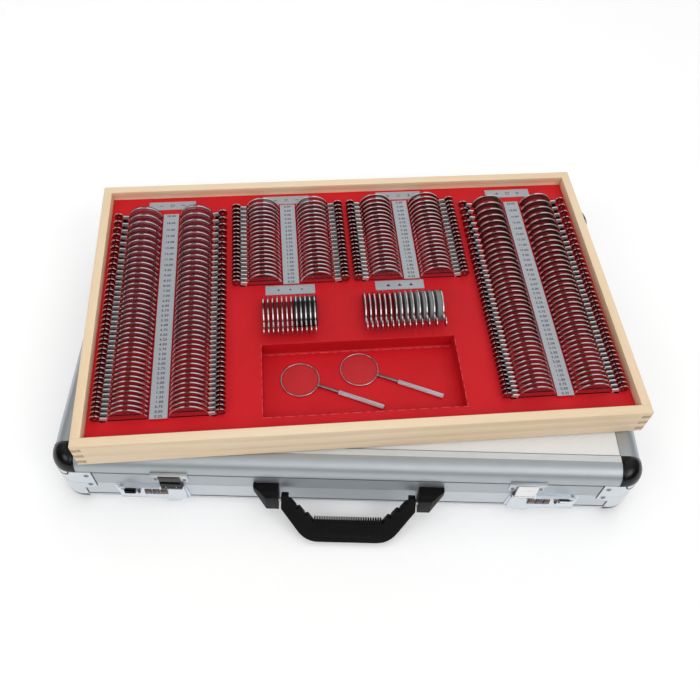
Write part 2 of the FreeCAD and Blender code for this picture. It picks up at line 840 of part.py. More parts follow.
def make_handle():
    """The handle lies in its own XY plane, pivot axis on X, and hangs down along -Y."""
    handle = new_body("handle")
    arm, grip = "(handle_half - arm_width)", "(-grip_inner)"
    foot = "(grip_half - arm_foot)"
    inner = [(arm, "boss_radius"), (arm, "0")]
    for count in range(1, 4):
        x = f"({arm} + ({foot} - {arm}) * {count} / 4)"
        y = f"({grip} * {count} / 4)"
        inner += [(f"{x} - 1.2", f"{y} + 1.4"), (f"{x} + 1", f"{y} - 0.6")]
    inner.append((foot, grip))
    outer = [
        ("handle_half", "boss_radius"),
        ("handle_half", "-knee_drop"),
        ("grip_half + knee_out", "-grip_outer + knee_rise"),
        ("grip_half + toe_out", "-grip_outer + toe_rise"),
        ("grip_half", "-grip_outer"),
    ]
    half = [*reversed(inner), *outer]
    outline = half + [(f"-({x})", y) for x, y in reversed(half)]
    add(handle, "z", [outline], "-grip_thickness / 2", "grip_thickness / 2")
    bore = polygon_round("0", "0", "pivot_radius + pin_play", 10)
    cut(handle, "x", [bore], "-handle_half - 1", "handle_half + 1")
    boss, thick = value("boss_radius"), value("grip_thickness") / 2
    long_edge = value("grip_half")

    def on_rim(edge):
        box = edge.BoundBox
        return box.ZLength < 1e-3 and abs(abs(box.Center.z) - thick) < 1e-3 and box.YLength < 1e-3

    bevel(handle, "boss_radius * 0.6", lambda e: on_rim(e) and abs(e.BoundBox.Center.y - boss) < 1e-3)
    bevel(handle, "grip_round * 0.8", lambda e: on_rim(e) and e.BoundBox.XLength > long_edge)
    handle.setExpression(".Placement.Base.y", bound(PIVOT_Y))
    handle.setExpression(".Placement.Base.z", bound("pivot_height"))
    handle.Placement.Rotation = FreeCAD.Rotation(FreeCAD.Vector(1, 0, 0), value("handle_slope"))
    handle.setExpression(".Placement.Rotation.Angle", bound("handle_slope * 1 deg"))
    node(handle, "handle")


# wooden tray: finger-jointed boards, a bottom board and the red insert

FINGERS = 7


def board_outline(half, root, tabs):
    """A board seen from its broad side, with finger joints at both ends."""
    corners = []
    for count in range(FINGERS):
        out = (count % 2 == 1) == tabs
        reach = half if out else root
        corners += [
            (reach, f"tray_height * {count} / {FINGERS}"),
            (reach, f"tray_height * {count + 1} / {FINGERS}"),
        ]
    return corners + [(f"-({x})", z) for x, z in reversed(corners)]


def lower_outer_edge(axis, place):
    """A test for the board's lower edge on its outer side."""

    def test(edge):
        box = edge.BoundBox
        middle = (box.Center.x, box.Center.y)[axis]
        length = (box.YLength, box.XLength)[axis]
        return abs(box.Center.z) < 1e-3 and abs(middle - place) < 1e-3 and length > 100

    return test


def make_tray_boards():
    half_w, half_d = "(tray_width / 2)", "(tray_depth / 2)"
    in_w, in_d = f"({half_w} - tray_wall)", f"({half_d} - tray_wall)"
    for name, side in (("front", -1), ("rear", 1)):
        board = new_body(f"tray_{name}_board")
        ends = sorted((f"{side} * {half_d}", f"{side} * {in_d}"), key=value)
        add(board, "y", [board_outline(half_w, in_w, False)], *ends)
        round_off(board, "tray_round", lower_outer_edge(1, side * value(half_d)))
        node(on_tray(board), f"tray_{name}_board")
    for name, side in (("left", -1), ("right", 1)):
        board = new_body(f"tray_{name}_board")
        ends = sorted((f"{side} * {half_w}", f"{side} * {in_w}"), key=value)
        add(board, "x", [board_outline(half_d, in_d, True)], *ends)
        round_off(board, "tray_round", lower_outer_edge(0, side * value(half_w)))
        node(on_tray(board), f"tray_{name}_board")
    bottom = block(
        "bottom_board", f"-{in_w}", in_w, f"-{in_d}", in_d, "board_lift", "board_lift + board_skin"
    )
    node(on_tray(group("tray_bottom", [bottom])), "tray_bottom_board")


COLUMNS = {
    "sphere": ("sphere_place", "sphere_front", SPHERE_POWERS, "sphere_pitch"),
    "cylinder": ("cylinder_place", "cylinder_front", CYLINDER_POWERS, "cylinder_pitch"),
}


def row_places(front, powers, pitch):
    """The lens rows from back to front: a stronger lens is thicker, so its slot is wider."""
    rows = [value(front)]
    for power in reversed(powers[:-1]):
        rows.append(rows[-1] + value(f"{pitch} + power_pitch * ({power} / 20) ^ 1.3"))
    return rows[::-1]


def groove_section(middle):
    """A trough with facets, wide enough for the round lenses to stand in."""
    room = "(lens_radius + groove_room)"
    bed = chords(middle, "lens_height + groove_room", f"{room} / cos(15 deg)", 195, 345, 5)
    return [(f"{middle} - {room}", "insert_top + 6"), *bed, (f"{middle} + {room}", "insert_top + 6")]


def make_tile(name, sides, ends, banks):
    """One lined board of the insert, with the troughs and the number ridge of each bank on it."""
    board = new_body(f"{name}_tile")
    add(board, "z", [rectangle(*sides, *ends)], "board_lift + board_skin", "insert_top")
    for kind, side in banks:
        place, front, powers, pitch = COLUMNS[kind]
        rear = f"{row_places(front, powers, pitch)[0]:.2f}"
        middle = f"{side} * {place}"
        ridge = rectangle(
            f"{middle} - strip_width / 2",
            f"{middle} + strip_width / 2",
            f"{front} - strip_front",
            f"{rear} + strip_rear",
        )
        add(board, "z", [ridge], "insert_top - 1", "insert_top + ridge_height")
        grooves = [groove_section(f"{middle} + {hand} * column_offset") for hand in (-1, 1)]
        cut(board, "y", grooves, f"{front} - groove_front", f"{rear} + groove_rear")
    return board


def make_insert():
    """Four lined boards: one under each bank of spheres, and two behind each other between them."""
    across = "(tray_width / 2 - tray_wall - insert_room)"
    along = "(tray_depth / 2 - tray_wall - insert_room)"
    whole = (f"-{along}", along)
    between = ("-tile_side", "tile_side")
    outer = ("tile_side + insert_room", across)
    left = make_tile("left", (f"-{across}", f"-({outer[0]})"), whole, [("sphere", -1)])
    right = make_tile("right", outer, whole, [("sphere", 1)])
    banks = [("cylinder", -1), ("cylinder", 1)]
    middle = make_tile("middle", between, ("tile_split", along), banks)
    for first, last in (
        ("accessory_left", f"accessory_left + {ACCESSORY_COUNT - 1} * accessory_pitch"),
        ("prism_left", f"{prism_places()[-1]:.2f}"),
    ):
        ends = (f"{first} - groove_rear", f"{last} + groove_rear")
        cut(middle, "x", [groove_section("loose_row")], *ends)
    front = make_tile("front", between, (f"-{along}", "tile_split - insert_room"), [])
    well = rectangle("-well_half", "well_half", "well_front", "well_rear")
    cut(front, "z", [well], "well_floor", "insert_top + 1")
    node(on_tray(group("insert", [left, right, middle, front])), "tray_insert")


def make_number_strips():
    strips = []
    for place, front, powers, pitch in COLUMNS.values():
        rear = f"{row_places(front, powers, pitch)[0]:.2f}"
        for side in (-1, 1):
            middle = f"{side} * {place}"
            low = "insert_top + ridge_height"
            strips.append(
                block(
                    "number_strip",
                    f"{middle} - strip_width / 2",
                    f"{middle} + strip_width / 2",
                    f"{front} - strip_front",
                    f"{rear} + strip_rear",
                    low,
                    f"{low} + label_skin",
                )
            )
    node(on_tray(group("number_strips", strips)), "number_strips")


HEADERS = [(-190.6, 140), (-64, 142.5), (64, 143.5), (190.6, 140.8), (-64.7, 12.2), (49.5, 12.3)]


def make_header_plates():
    plates = []
    for x, y in HEADERS:
        plates.append(
            block(
                "header_plate",
                f"{x} - header_length / 2",
                f"{x} + header_length / 2",
                f"{y} - header_width / 2",
                f"{y} + header_width / 2",
                "insert_top",
                "insert_top + label_skin",
            )
        )
    node(on_tray(group("header_plates", plates)), "header_plates")


# trial lenses: a round rim with a flat handling tab, the tab to the left of the lens's centre


def lens_outline(angle, crown, foot):
    """The lens seen square on, about its centre: crown edges above, foot edges below."""
    root = "asin(tab_half / lens_radius)"
    start, end = "(-8 deg)", f"(180 deg - {angle} * 1 deg - {root})"
    corners = []
    for count in range(crown + 1):
        turn = f"({start} + ({end} - {start}) * {count} / {crown})"
        corners.append((f"lens_radius * cos({turn})", f"lens_radius * sin({turn})"))
    axis = f"(180 deg - {angle} * 1 deg)"
    for half in ("tab_end_half", "(-tab_end_half)"):
        corners.append(
            (
                f"tab_end * cos({axis}) + {half} * sin({axis})",
                f"tab_end * sin({axis}) - {half} * cos({axis})",
            )
        )
    start, end = f"({axis} + {root})", "(352 deg)"
    for count in range(foot):
        turn = f"({start} + ({end} - {start}) * {count} / {foot})"
        corners.append((f"lens_radius * cos({turn})", f"lens_radius * sin({turn})"))
    return corners


def flat_lens(outline, place, thickness, hand=1, across=False):
    """A lens plate at a place on the tray: hand mirrors the tab, across turns it to face along X."""
    x, y, z = place
    points = []
    for sideways, up in outline:
        if across:
            points.append(FreeCAD.Vector(x, y + sideways, z + up))
        else:
            points.append(FreeCAD.Vector(x + hand * sideways, y, z + up))
    face = Part.Face(Part.makePolygon([*points, points[0]]))
    run = FreeCAD.Vector(-thickness, 0, 0) if across else FreeCAD.Vector(0, thickness, 0)
    lens = face.extrude(run)
    return lens if lens.Volume > 0 else lens.reversed()


def lens_group(name, lenses):
    """The lenses of one bank, whose rows aren't evenly spaced, as separate solids."""
    bank = doc.addObject("Part::Feature", name)
    bank.Shape = Part.makeCompound(lenses)
    return node(on_tray(bank), name)


def numbers(outline):
    return [(value(x), value(y)) for x, y in outline]


BANKS = {
    "concave_sphere": ("sphere", -1),
    "convex_sphere": ("sphere", 1),
    "concave_cylinder": ("cylinder", -1),
    "convex_cylinder": ("cylinder", 1),
}


def prism_places():
    places = [value("prism_left")]
    for power in PRISM_POWERS[1:]:
        places.append(places[-1] + value(f"prism_pitch + prism_spread * ({power} / 10) ^ 2"))
    return places


def make_lens_banks():
    """Both columns of each bank, without the weakest outer lens, which is a sub-part of its own."""
    plain = numbers(lens_outline("tab_angle", 4, 2))
    thickness = value("rim_thickness")
    for name, (kind, side) in BANKS.items():
        place, front, powers, pitch = COLUMNS[kind]
        rows = row_places(front, powers, pitch)
        lenses = []
        for hand in (1, -1):
            x = side * value(place) - hand * value("column_offset")
            outer = (hand == 1) == (side == -1)
            kept = rows[:-1] if outer else rows
            for y in kept:
                lenses.append(flat_lens(plain, (x, y, value("lens_height")), thickness, hand))
        lens_group(f"{name}_lenses", lenses)


def make_loose_groups():
    """Accessory and prism lenses stand across the tray with their tabs to the front."""
    plain = numbers(lens_outline("loose_tab_angle", 4, 2))
    y, z = value("loose_row"), value("lens_height")
    left, pitch = value("accessory_left"), value("accessory_pitch")
    lenses = []
    for count in range(1, ACCESSORY_COUNT):
        place = (left + count * pitch, y, z)
        lenses.append(flat_lens(plain, place, value("rim_thickness"), across=True))
    lens_group("accessory_lenses", lenses)
    lenses = []
    for power, x in list(zip(PRISM_POWERS, prism_places()))[:-1]:
        thickness = value(f"rim_thickness + prism_wall * ({power} / 10) ^ 2")
        lenses.append(flat_lens(plain, (x, y, z), thickness, across=True))
    lens_group("prism_lenses", lenses)


def place_on_tray(body, x, y, z, turn=0):
    """Puts a body made about its own origin at a place in the tray's frame."""
    tray = FreeCAD.Placement(
        FreeCAD.Vector(value("tray_right"), value("tray_back"), value(TOP)),
        FreeCAD.Rotation(FreeCAD.Vector(0, 0, 1), value("tray_turn")),
    )
    here = FreeCAD.Placement(
        FreeCAD.Vector(value(x), value(y), value(z)),
        FreeCAD.Rotation(FreeCAD.Vector(0, 0, 1), turn),
    )
    body.Placement = tray.multiply(here)
    return body


def make_single_lens(name, outline, place, thickness, turn):
    """One lens that lifts out, in full outline."""
    lens = new_body(name)
    add(lens, "y", [outline], "0", thickness)
    node(place_on_tray(lens, *place, turn=turn), name)


def make_single_lenses():
    for name, (kind, side) in BANKS.items():
        place, front, powers, pitch = COLUMNS[kind]
        outline = lens_outline("tab_angle", 4, 2)
        if side > 0:
            outline = flipped(outline)
        x = f"{side} * ({place} + column_offset)"
        make_single_lens(f"{name}_lens", outline, (x, front, "lens_height"), "rim_thickness", 0)
    outline = lens_outline("loose_tab_angle", 4, 2)
    accessory = ("accessory_left", "loose_row", "lens_height")
    make_single_lens("accessory_lens", outline, accessory, "rim_thickness", 90)
    thickness = f"rim_thickness + prism_wall * ({PRISM_POWERS[-1]} / 10) ^ 2"
    prism = (f"{prism_places()[-1]:.3f}", "loose_row", "lens_height")
    make_single_lens("prism_lens", outline, prism, thickness, 90)


# cross cylinders: a ringed glass on a stem with a bar grip, lying in the well


def make_cross_cylinder(hand):
    place = (f"{hand}_ring_x", f"{hand}_ring_y", "well_floor")
    turn = value("ring_turn")
    ring = new_body(f"{hand}_ring")
    rim = polygon("0", "0", "ring_radius", 24)
    hole = polygon("0", "0", "ring_inner", 24)
    add(ring, "z", [rim, hole], "0", "ring_height")
    stem = polygon("0", "grip_bar_radius", "stem_radius", 8)
    add(ring, "x", [stem], "ring_inner + 1.3", "ring_radius + stem_length")
    node(place_on_tray(ring, *place, turn=turn), f"cross_cylinder_{hand}_ring")
    glass = new_body(f"{hand}_glass")
    lift = "(ring_height - glass_height) / 2"
    add(glass, "z", [hole], lift, f"{lift} + glass_height")
    node(place_on_tray(glass, *place, turn=turn), f"cross_cylinder_{hand}_glass")
    grip = new_body(f"{hand}_grip")
    bar = polygon("0", "grip_bar_radius", "grip_bar_radius", 10)
    start = "ring_radius + stem_length"
    add(grip, "x", [bar], start, f"{start} + grip_bar_length")
    node(place_on_tray(grip, *place, turn=turn), f"cross_cylinder_{hand}_grip")


for shell in ("base", "lid"):
    make_rails(shell)
    make_panel(shell)
    make_lining(shell)
    make_corner_caps(shell)
    make_corner_plates(shell)
    make_hinge_leaf(shell)
make_hinge_pins()
make_catch_plates()
make_lock_housing()
make_hasp()
make_slide_button()
make_dials()
make_latch_pins()
make_handle_brackets()
make_handle_pins()
make_handle()
make_tray_boards()
make_insert()
make_number_strips()
make_header_plates()
make_lens_banks()
make_loose_groups()
make_single_lenses()
for hand in ("left", "right"):
    make_cross_cylinder(hand)

doc.recompute()
for thing in doc.Objects:
    if "Invalid" in thing.State or "Error" in thing.State:
        raise RuntimeError(f"{thing.Name} ({thing.Label}) didn't build: {thing.State}")
    if thing.TypeId == "PartDesign::Pocket":
        if thing.Shape.Volume > thing.BaseFeature.Shape.Volume - 0.01:
            raise RuntimeError(f"{thing.Name} cuts nothing")
for part in nodes:
    if part.Shape.isNull() or not part.Shape.isValid():
        raise RuntimeError(f"{part.Label} has no valid shape")

os.makedirs("parts", exist_ok=True)
for part in nodes:
    part.Shape.exportStep(f"parts/{part.Label}.step")
print(len(nodes), "sub-parts written")
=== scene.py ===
"""Trial lens case: the looks of the wooden lens tray and of the aluminium case that it rests on."""

from functools import cache
from math import cos, pi, radians, sin, sqrt

import bmesh
import bpy
from mathutils import Matrix, Vector


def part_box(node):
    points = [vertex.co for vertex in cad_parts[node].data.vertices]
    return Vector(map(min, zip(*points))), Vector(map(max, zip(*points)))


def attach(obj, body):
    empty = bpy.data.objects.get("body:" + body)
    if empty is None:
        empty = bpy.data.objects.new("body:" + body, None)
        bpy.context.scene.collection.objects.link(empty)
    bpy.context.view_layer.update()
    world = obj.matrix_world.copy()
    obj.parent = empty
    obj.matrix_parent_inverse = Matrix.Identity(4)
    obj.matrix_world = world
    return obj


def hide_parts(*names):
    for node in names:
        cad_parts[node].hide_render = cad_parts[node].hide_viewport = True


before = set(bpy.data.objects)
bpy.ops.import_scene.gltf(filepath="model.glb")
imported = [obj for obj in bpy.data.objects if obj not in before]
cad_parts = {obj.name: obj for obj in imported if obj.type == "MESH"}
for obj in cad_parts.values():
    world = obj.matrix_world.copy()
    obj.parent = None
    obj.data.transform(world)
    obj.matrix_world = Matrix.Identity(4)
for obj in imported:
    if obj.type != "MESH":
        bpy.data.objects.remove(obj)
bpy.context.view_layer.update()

scene = bpy.context.scene
MM = 0.001

# sizes, in millimetres and degrees

HALF_W = 279.0
HALF_D = 181.0
EDGE = 16.5
SPLIT = 42.0
TOP = 80.5
SEAM = 0.3
FLANGE = 23.5
WALL = 1.6
PROUD = 0.8
CORNER = 20.0
SHELLS = {"lid": "case_lid", "base": "case_base"}

TRAY_TURN = 5.66
TRAY = Matrix.Translation((0.24, 4.65, TOP)) @ Matrix.Rotation(radians(TRAY_TURN), 4, "Z")
TRAY_HALF_W = 265.0
TRAY_HALF_D = 162.0
TRAY_WALL = 9.0
INSERT_TOP = 25.1
RIDGE_HALF = 8.2
RIDGE_TOP = 27.4
STRIP_TOP = 28.0
WELL = (-96.0, 96.0, -137.5, -55.0)
WELL_FLOOR = 8.0

LENS_RADIUS = 18.8
GLASS_RADIUS = LENS_RADIUS - 1.05
LENS_HEIGHT = 23.6
RIM = 2.0
COLUMN = 27.8
LOOSE_ROW = -18.3
SLOT_ROOM = LENS_RADIUS + 0.3
SLOT_GAP = 0.25
SLOT_DEPTH = 5.0
CHANNEL_DEPTH = 6.0
ROW_FRONT = 2.5
ROW_REAR = 3.0
SPHERE_POWERS = [20, 18, 16, 15, 14, 13, 12, 11, 10]
SPHERE_POWERS += [9.5 - 0.5 * count for count in range(8)]
SPHERE_POWERS += [5.75 - 0.25 * count for count in range(23)]
CYLINDER_POWERS = [6, 5.5, 5, 4.5, 4] + [3.75 - 0.25 * count for count in range(15)]
PRISM_POWERS = [0.5 * count for count in range(1, 11)] + [6, 7, 8, 10]
ACCESSORY_X = [-91.3 + 4.64 * count for count in range(12)]
FIRST_OPAQUE = 7


def row_places(front, powers, pitch):
    """The lens rows from back to front: a stronger lens is thicker, so its slot is wider."""
    rows = [front]
    for power in reversed(powers[:-1]):
        rows.append(rows[-1] + pitch + 5.6 * (power / 20) ** 1.3)
    return rows[::-1]


def prism_places():
    places = [10.4]
    for power in PRISM_POWERS[1:]:
        places.append(places[-1] + 4.89 + 4.3 * (power / 10) ** 2)
    return places


SPHERE_ROWS = row_places(-132.0, SPHERE_POWERS, 5.0)
CYLINDER_ROWS = row_places(20.0, CYLINDER_POWERS, 5.25)
BANKS = {
    "concave_sphere": (-190.6, -1, SPHERE_ROWS, SPHERE_POWERS),
    "convex_sphere": (190.6, 1, SPHERE_ROWS, SPHERE_POWERS),
    "concave_cylinder": (-63.2, -1, CYLINDER_ROWS, CYLINDER_POWERS),
    "convex_cylinder": (63.2, 1, CYLINDER_ROWS, CYLINDER_POWERS),
}


# mesh helpers


def shift(x, y, z):
    return Matrix.Translation((x, y, z))


def turn(angle, axis):
    return Matrix.Rotation(radians(angle), 4, axis)


def stretch(x, y=1):
    """Scales a place, or mirrors it where a factor is -1."""
    return Matrix.Diagonal((x, y, 1, 1))


def circle(count):
    return [(cos(2 * pi * index / count), sin(2 * pi * index / count)) for index in range(count)]


def arc(x, y, radius, start, end, count):
    """Points on an arc, from the start to the end angle in degrees."""
    turns = [radians(start + (end - start) * index / count) for index in range(count + 1)]
    return [(x + radius * cos(turn), y + radius * sin(turn)) for turn in turns]


def rectangle(left, right, front, rear):
    return [(left, front), (right, front), (right, rear), (left, rear)]


class Shape:
    """Vertices and faces in millimetres, gathered before they become one mesh."""

    def __init__(self):
        self.points = []
        self.faces = []
        self.slots = []

    def add(self, points, faces, slot=0, place=None):
        first = len(self.points)
        for point in points:
            point = Vector(point)
            self.points.append(place @ point if place else point)
        for face in faces:
            self.faces.append([first + index for index in face])
            self.slots.append(slot)

    def sweep(self, loops, slot=0, place=None, closed=True, capped=True, ring=False):
        """Faces between loops of equally many points; a ring's last loop joins its first."""
        count = len(loops[0])
        points = [point for loop in loops for point in loop]
        faces = []
        for start in range(len(loops) if ring else len(loops) - 1):
            end = (start + 1) % len(loops)
            for index in range(count if closed else count - 1):
                after = (index + 1) % count
                corners = ((start, index), (start, after), (end, after), (end, index))
                faces.append([loop * count + spot for loop, spot in corners])
        if capped and not ring:
            faces.append(list(reversed(range(count))))
            faces.append(list(range(len(points) - count, len(points))))
        self.add(points, faces, slot, place)

    def stack(self, outline, heights, slot=0, place=None, capped=True):
        """An outline repeated at heights."""
        loops = [[(x, y, height) for x, y in outline] for height in heights]
        self.sweep(loops, slot, place, capped=capped)

    def box(self, corner, opposite, slot=0, place=None):
        xs, ys, heights = (sorted(pair) for pair in zip(corner, opposite))
        self.stack(rectangle(*xs, *ys), heights, slot, place)

    def along_x(self, section, left, right, slot=0):
        """A section of (y, height) drawn out from left to right."""
        self.sweep([[(x, y, height) for y, height in section] for x in (left, right)], slot)

    def hoop(self, section, count, slot=0, place=None):
        """A closed section of (radius, height) turned about the Z axis."""
        loops = [[(radius * c, radius * s, height) for radius, height in section] for c, s in circle(count)]
        self.sweep(loops, slot, place, ring=True)

    def turned(self, profile, count, slot=0, place=None):
        """A solid turned about the Z axis, closed flat at both ends of its profile."""
        loops = [[(radius * c, radius * s, height) for c, s in circle(count)] for radius, height in profile]
        self.sweep(loops, slot, place)


BEVEL_ANGLE = 24
SHARP = 35
SHARP_RAIL = 28
SHARP_TEETH = 30
SHARP_ROUND = 40
SAME_PLACE = 1e-6
FINISHES = {}


def finish_mesh(mesh, work, bevel, segments, sharp):
    bmesh.ops.recalc_face_normals(work, faces=work.faces)
    if bevel:
        edges = [edge for edge in work.edges if len(edge.link_faces) == 2]
        edges = [edge for edge in edges if edge.calc_face_angle(0) > radians(BEVEL_ANGLE)]
        form = {"segments": segments, "profile": 0.5, "affect": "EDGES", "clamp_overlap": True}
        bmesh.ops.bevel(work, geom=edges, offset=bevel * MM, **form)
    work.to_mesh(mesh)
    work.free()
    mesh.shade_smooth()
    mesh.set_sharp_from_angle(angle=radians(sharp))


def settle(name, mesh, body, replaced):
    made = bpy.data.objects.new(name, mesh)
    scene.collection.objects.link(made)
    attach(made, body)
    if replaced:
        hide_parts(*replaced)
    return made


def piece(name, shape, looks, body, replaced=(), bevel=0, segments=2, sharp=SHARP):
    """A gathered shape as one piece of the object, which rides on a body."""
    mesh = bpy.data.meshes.new(name)
    mesh.from_pydata([tuple(point * MM) for point in shape.points], [], shape.faces)
    for look in looks.split():
        mesh.materials.append(FINISHES[look])
    mesh.polygons.foreach_set("material_index", shape.slots)
    work = bmesh.new()
    work.from_mesh(mesh)
    finish_mesh(mesh, work, bevel, segments, sharp)
    return settle(name, mesh, body, replaced)


def stand_in(node, style, shape, looks, body, sharp=SHARP):
    """A piece that stands for one CAD node."""
    return piece(f"{node}_{style}", shape, looks, body, [node], sharp=sharp)


def eased(node, look, body, bevel, segments=2):
    """A piece with a CAD node's own shape and its edges rounded, which stands for that node."""
    mesh = bpy.data.meshes.new(f"{node}_eased")
    work = bmesh.new()
    work.from_mesh(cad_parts[node].data)
    bmesh.ops.remove_doubles(work, verts=work.verts, dist=2 * SAME_PLACE)
    bmesh.ops.dissolve_limit(work, angle_limit=radians(1), verts=work.verts, edges=work.edges)
    for face in work.faces:
        face.material_index = 0
    finish_mesh(mesh, work, bevel, segments, SHARP)
    mesh.materials.append(FINISHES[look])
    settle(f"{node}_eased", mesh, body, [node])


def dress(node, look):
    """Gives a carried-over CAD node its material."""
    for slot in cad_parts[node].material_slots:
        slot.material = FINISHES[look]


def weld(made):
    """Joins the points of a mesh that lie at one place, and sets its faces outwards again."""
    work = bmesh.new()
    work.from_mesh(made.data)
    bmesh.ops.remove_doubles(work, verts=work.verts, dist=SAME_PLACE)
    bmesh.ops.recalc_face_normals(work, faces=work.faces)
    work.to_mesh(made.data)
    work.free()


# materials


class Nodes:
    """A node tree, with the kinds of node that the materials and the studio are made of."""

    def __init__(self, tree):
        self.tree = tree

    def add(self, kind, inputs=None, **settings):
        node = self.tree.nodes.new(f"ShaderNode{kind}")
        for key, value in settings.items():
            setattr(node, key, value)
        for key, value in (inputs or {}).items():
            if isinstance(value, bpy.types.NodeSocket):
                self.tree.links.new(value, node.inputs[key])
            else:
                node.inputs[key].default_value = value
        return node

    def ramp(self, source, stops):
        """Colours or greys at places along a value from 0 to 1."""
        made = self.add("ValToRGB", {"Fac": source})
        band = made.color_ramp
        while len(band.elements) < len(stops):
            band.elements.new(0.5)
        for element, (place, colour) in zip(band.elements, stops):
            element.position = place
            grey = isinstance(colour, (int, float))
            element.color = (colour, colour, colour, 1) if grey else (*colour, 1)
        return made.outputs["Color"]

    def math(self, operation, *values):
        made = self.add("Math", dict(enumerate(values)), operation=operation)
        return made.outputs["Value"]

    def product(self, first, *others):
        for other in others:
            first = self.math("MULTIPLY", first, other)
        return first

    def mixed(self, first, *others):
        """The sum of sources, each given with its share."""
        total = self.product(*first)
        for other in others:
            total = self.math("ADD", total, self.product(*other))
        return total


class Finish(Nodes):
    """A material with its node tree; textures run in the object's own coordinates."""

    def __init__(self, name, colour, roughness, metallic=0.0):
        material = bpy.data.materials.new(name)
        FINISHES[name] = material
        material.use_nodes = True
        super().__init__(material.node_tree)
        self.shader = self.tree.nodes["Principled BSDF"]
        self.set("Base Color", (*colour, 1))
        self.set("Roughness", roughness)
        self.set("Metallic", metallic)
        source = self.add("TexCoord").outputs
        self.coordinates = source["Object"]
        self.directions = source["Normal"]

    def link(self, source, name):
        self.tree.links.new(source, self.shader.inputs[name])

    def set(self, name, value):
        self.shader.inputs[name].default_value = value

    def vary(self, name, source, *stops):
        self.link(self.ramp(source, stops), name)

    def stretched(self, scale, angle=0):
        """Coordinates turned by an angle about Z, then scaled along each axis."""
        turned = self.add("Mapping", {"Vector": self.coordinates, "Rotation": (0, 0, radians(angle))})
        return self.add("Mapping", {"Vector": turned.outputs["Vector"], "Scale": scale}).outputs["Vector"]

    def noise(self, scale, detail=3.0, vector=None):
        inputs = {"Vector": vector or self.coordinates, "Scale": scale, "Detail": detail, "Roughness": 0.55}
        return self.add("TexNoise", inputs).outputs["Fac"]

    def wave(self, scale, vector=None, distortion=0.0, direction="X", profile="SIN", detail=2.0):
        inputs = {"Vector": vector or self.coordinates, "Scale": scale}
        inputs |= {"Distortion": distortion, "Detail": detail}
        return self.add("TexWave", inputs, bands_direction=direction, wave_profile=profile).outputs["Fac"]

    def bump(self, height, distance, strength):
        made = self.add("Bump", {"Height": height, "Distance": distance * MM, "Strength": strength})
        self.link(made.outputs["Normal"], "Normal")


def tinted(colour, factor, lift=0.0):
    return [factor * part + lift for part in colour]


def make_metal(name, colour, roughness, grain, spread, metallic=1.0):
    """Metal with fine grain; a lower metallic share makes a copy look light under any surroundings, which
    paints light on it.
    """
    made = Finish(name, colour, roughness, metallic)
    brushed = made.noise(1.0, 4.0, made.stretched(grain))
    made.vary("Roughness", brushed, (0.3, roughness - spread / 2), (0.7, roughness + spread / 2))
    made.vary("Base Color", made.noise(60.0, 5.0), (0.25, tinted(colour, 0.95)), (0.75, colour))
    made.bump(brushed, 0.01, 0.3)


def make_plastic(name, colour, roughness, grain, depth, gloss):
    made = Finish(name, colour, roughness)
    made.set("Specular IOR Level", gloss)
    fine = made.noise(grain, 4.0)
    made.vary("Roughness", fine, (0.3, roughness - 0.06), (0.7, roughness + 0.08))
    made.vary("Base Color", made.noise(70.0, 6.0), (0.35, colour), (0.8, tinted(colour, 1.4, 0.001)))
    made.bump(fine, depth, 0.5)


def make_glass(name, colour, alpha, roughness):
    """Glass that is seen through and keeps back a share of the light."""
    made = Finish(name, colour, roughness)
    made.set("Alpha", alpha)
    made.vary("Base Color", made.noise(30.0, 2.0), (0.3, colour), (0.7, tinted(colour, 1.5)))


def make_ink(name, colour):
    made = Finish(name, colour, 0.5)
    made.vary("Base Color", made.noise(1500.0), (0.4, colour), (0.8, tinted(colour, 1.1, 0.015)))


def make_panel_sheet():
    """Sheet with a fine pressed pattern of slanting strokes."""
    made = Finish("aluminium_panel", (0.82, 0.82, 0.82), 0.42, 0.06)
    slanted = made.stretched((1, 1, 1), -38)
    pattern = made.product(made.wave(330.0, slanted, 0.8, "X"), made.wave(150.0, slanted, 1.4, "Y"))
    made.vary("Base Color", pattern, (0.1, (0.79, 0.80, 0.81)), (0.6, (0.94, 0.95, 0.955)))
    made.vary("Roughness", made.noise(90.0), (0.3, 0.36), (0.7, 0.5))
    made.bump(pattern, 0.25, 0.6)


PINE = (
    (0.3, (0.72, 0.50, 0.30)),
    (0.5, (0.81, 0.61, 0.40)),
    (0.65, (0.85, 0.67, 0.46)),
    (0.85, (0.89, 0.73, 0.53)),
)


def make_wood(name, angle):
    """Pale pine whose grain runs along the board; the angle turns the board's length to X."""
    made = Finish(name, (0.83, 0.61, 0.38), 0.45)
    along = made.stretched((4, 42, 42), angle)
    bend = made.noise(1.0, 3.0, along)
    rings = made.wave(0.55, along, 7.0, "Z", "SAW", 3.0)
    fibres = made.noise(1.0, 5.0, made.stretched((60, 2400, 2400), angle))
    face = made.ramp(made.mixed((rings, 0.22), (fibres, 0.42), (bend, 0.5)), PINE)
    grain = (cos(radians(-angle)), sin(radians(-angle)), 0)
    facing = made.add("VectorMath", {0: made.directions, 1: grain}, operation="DOT_PRODUCT")
    cut = made.ramp(made.math("ABSOLUTE", facing.outputs["Value"]), ((0.8, 0.0), (0.95, 1.0)))
    end = made.ramp(made.noise(700.0, 4.0), ((0.35, (0.40, 0.26, 0.16)), (0.7, (0.62, 0.45, 0.30))))
    blend = made.add("Mix", data_type="RGBA")
    for socket, source in zip((blend.inputs["Factor"], *blend.inputs[6:8]), (cut, face, end)):
        made.tree.links.new(source, socket)
    made.link(blend.outputs[2], "Base Color")
    made.vary("Roughness", fibres, (0.3, 0.38), (0.7, 0.55))
    made.bump(fibres, 0.05, 0.5)


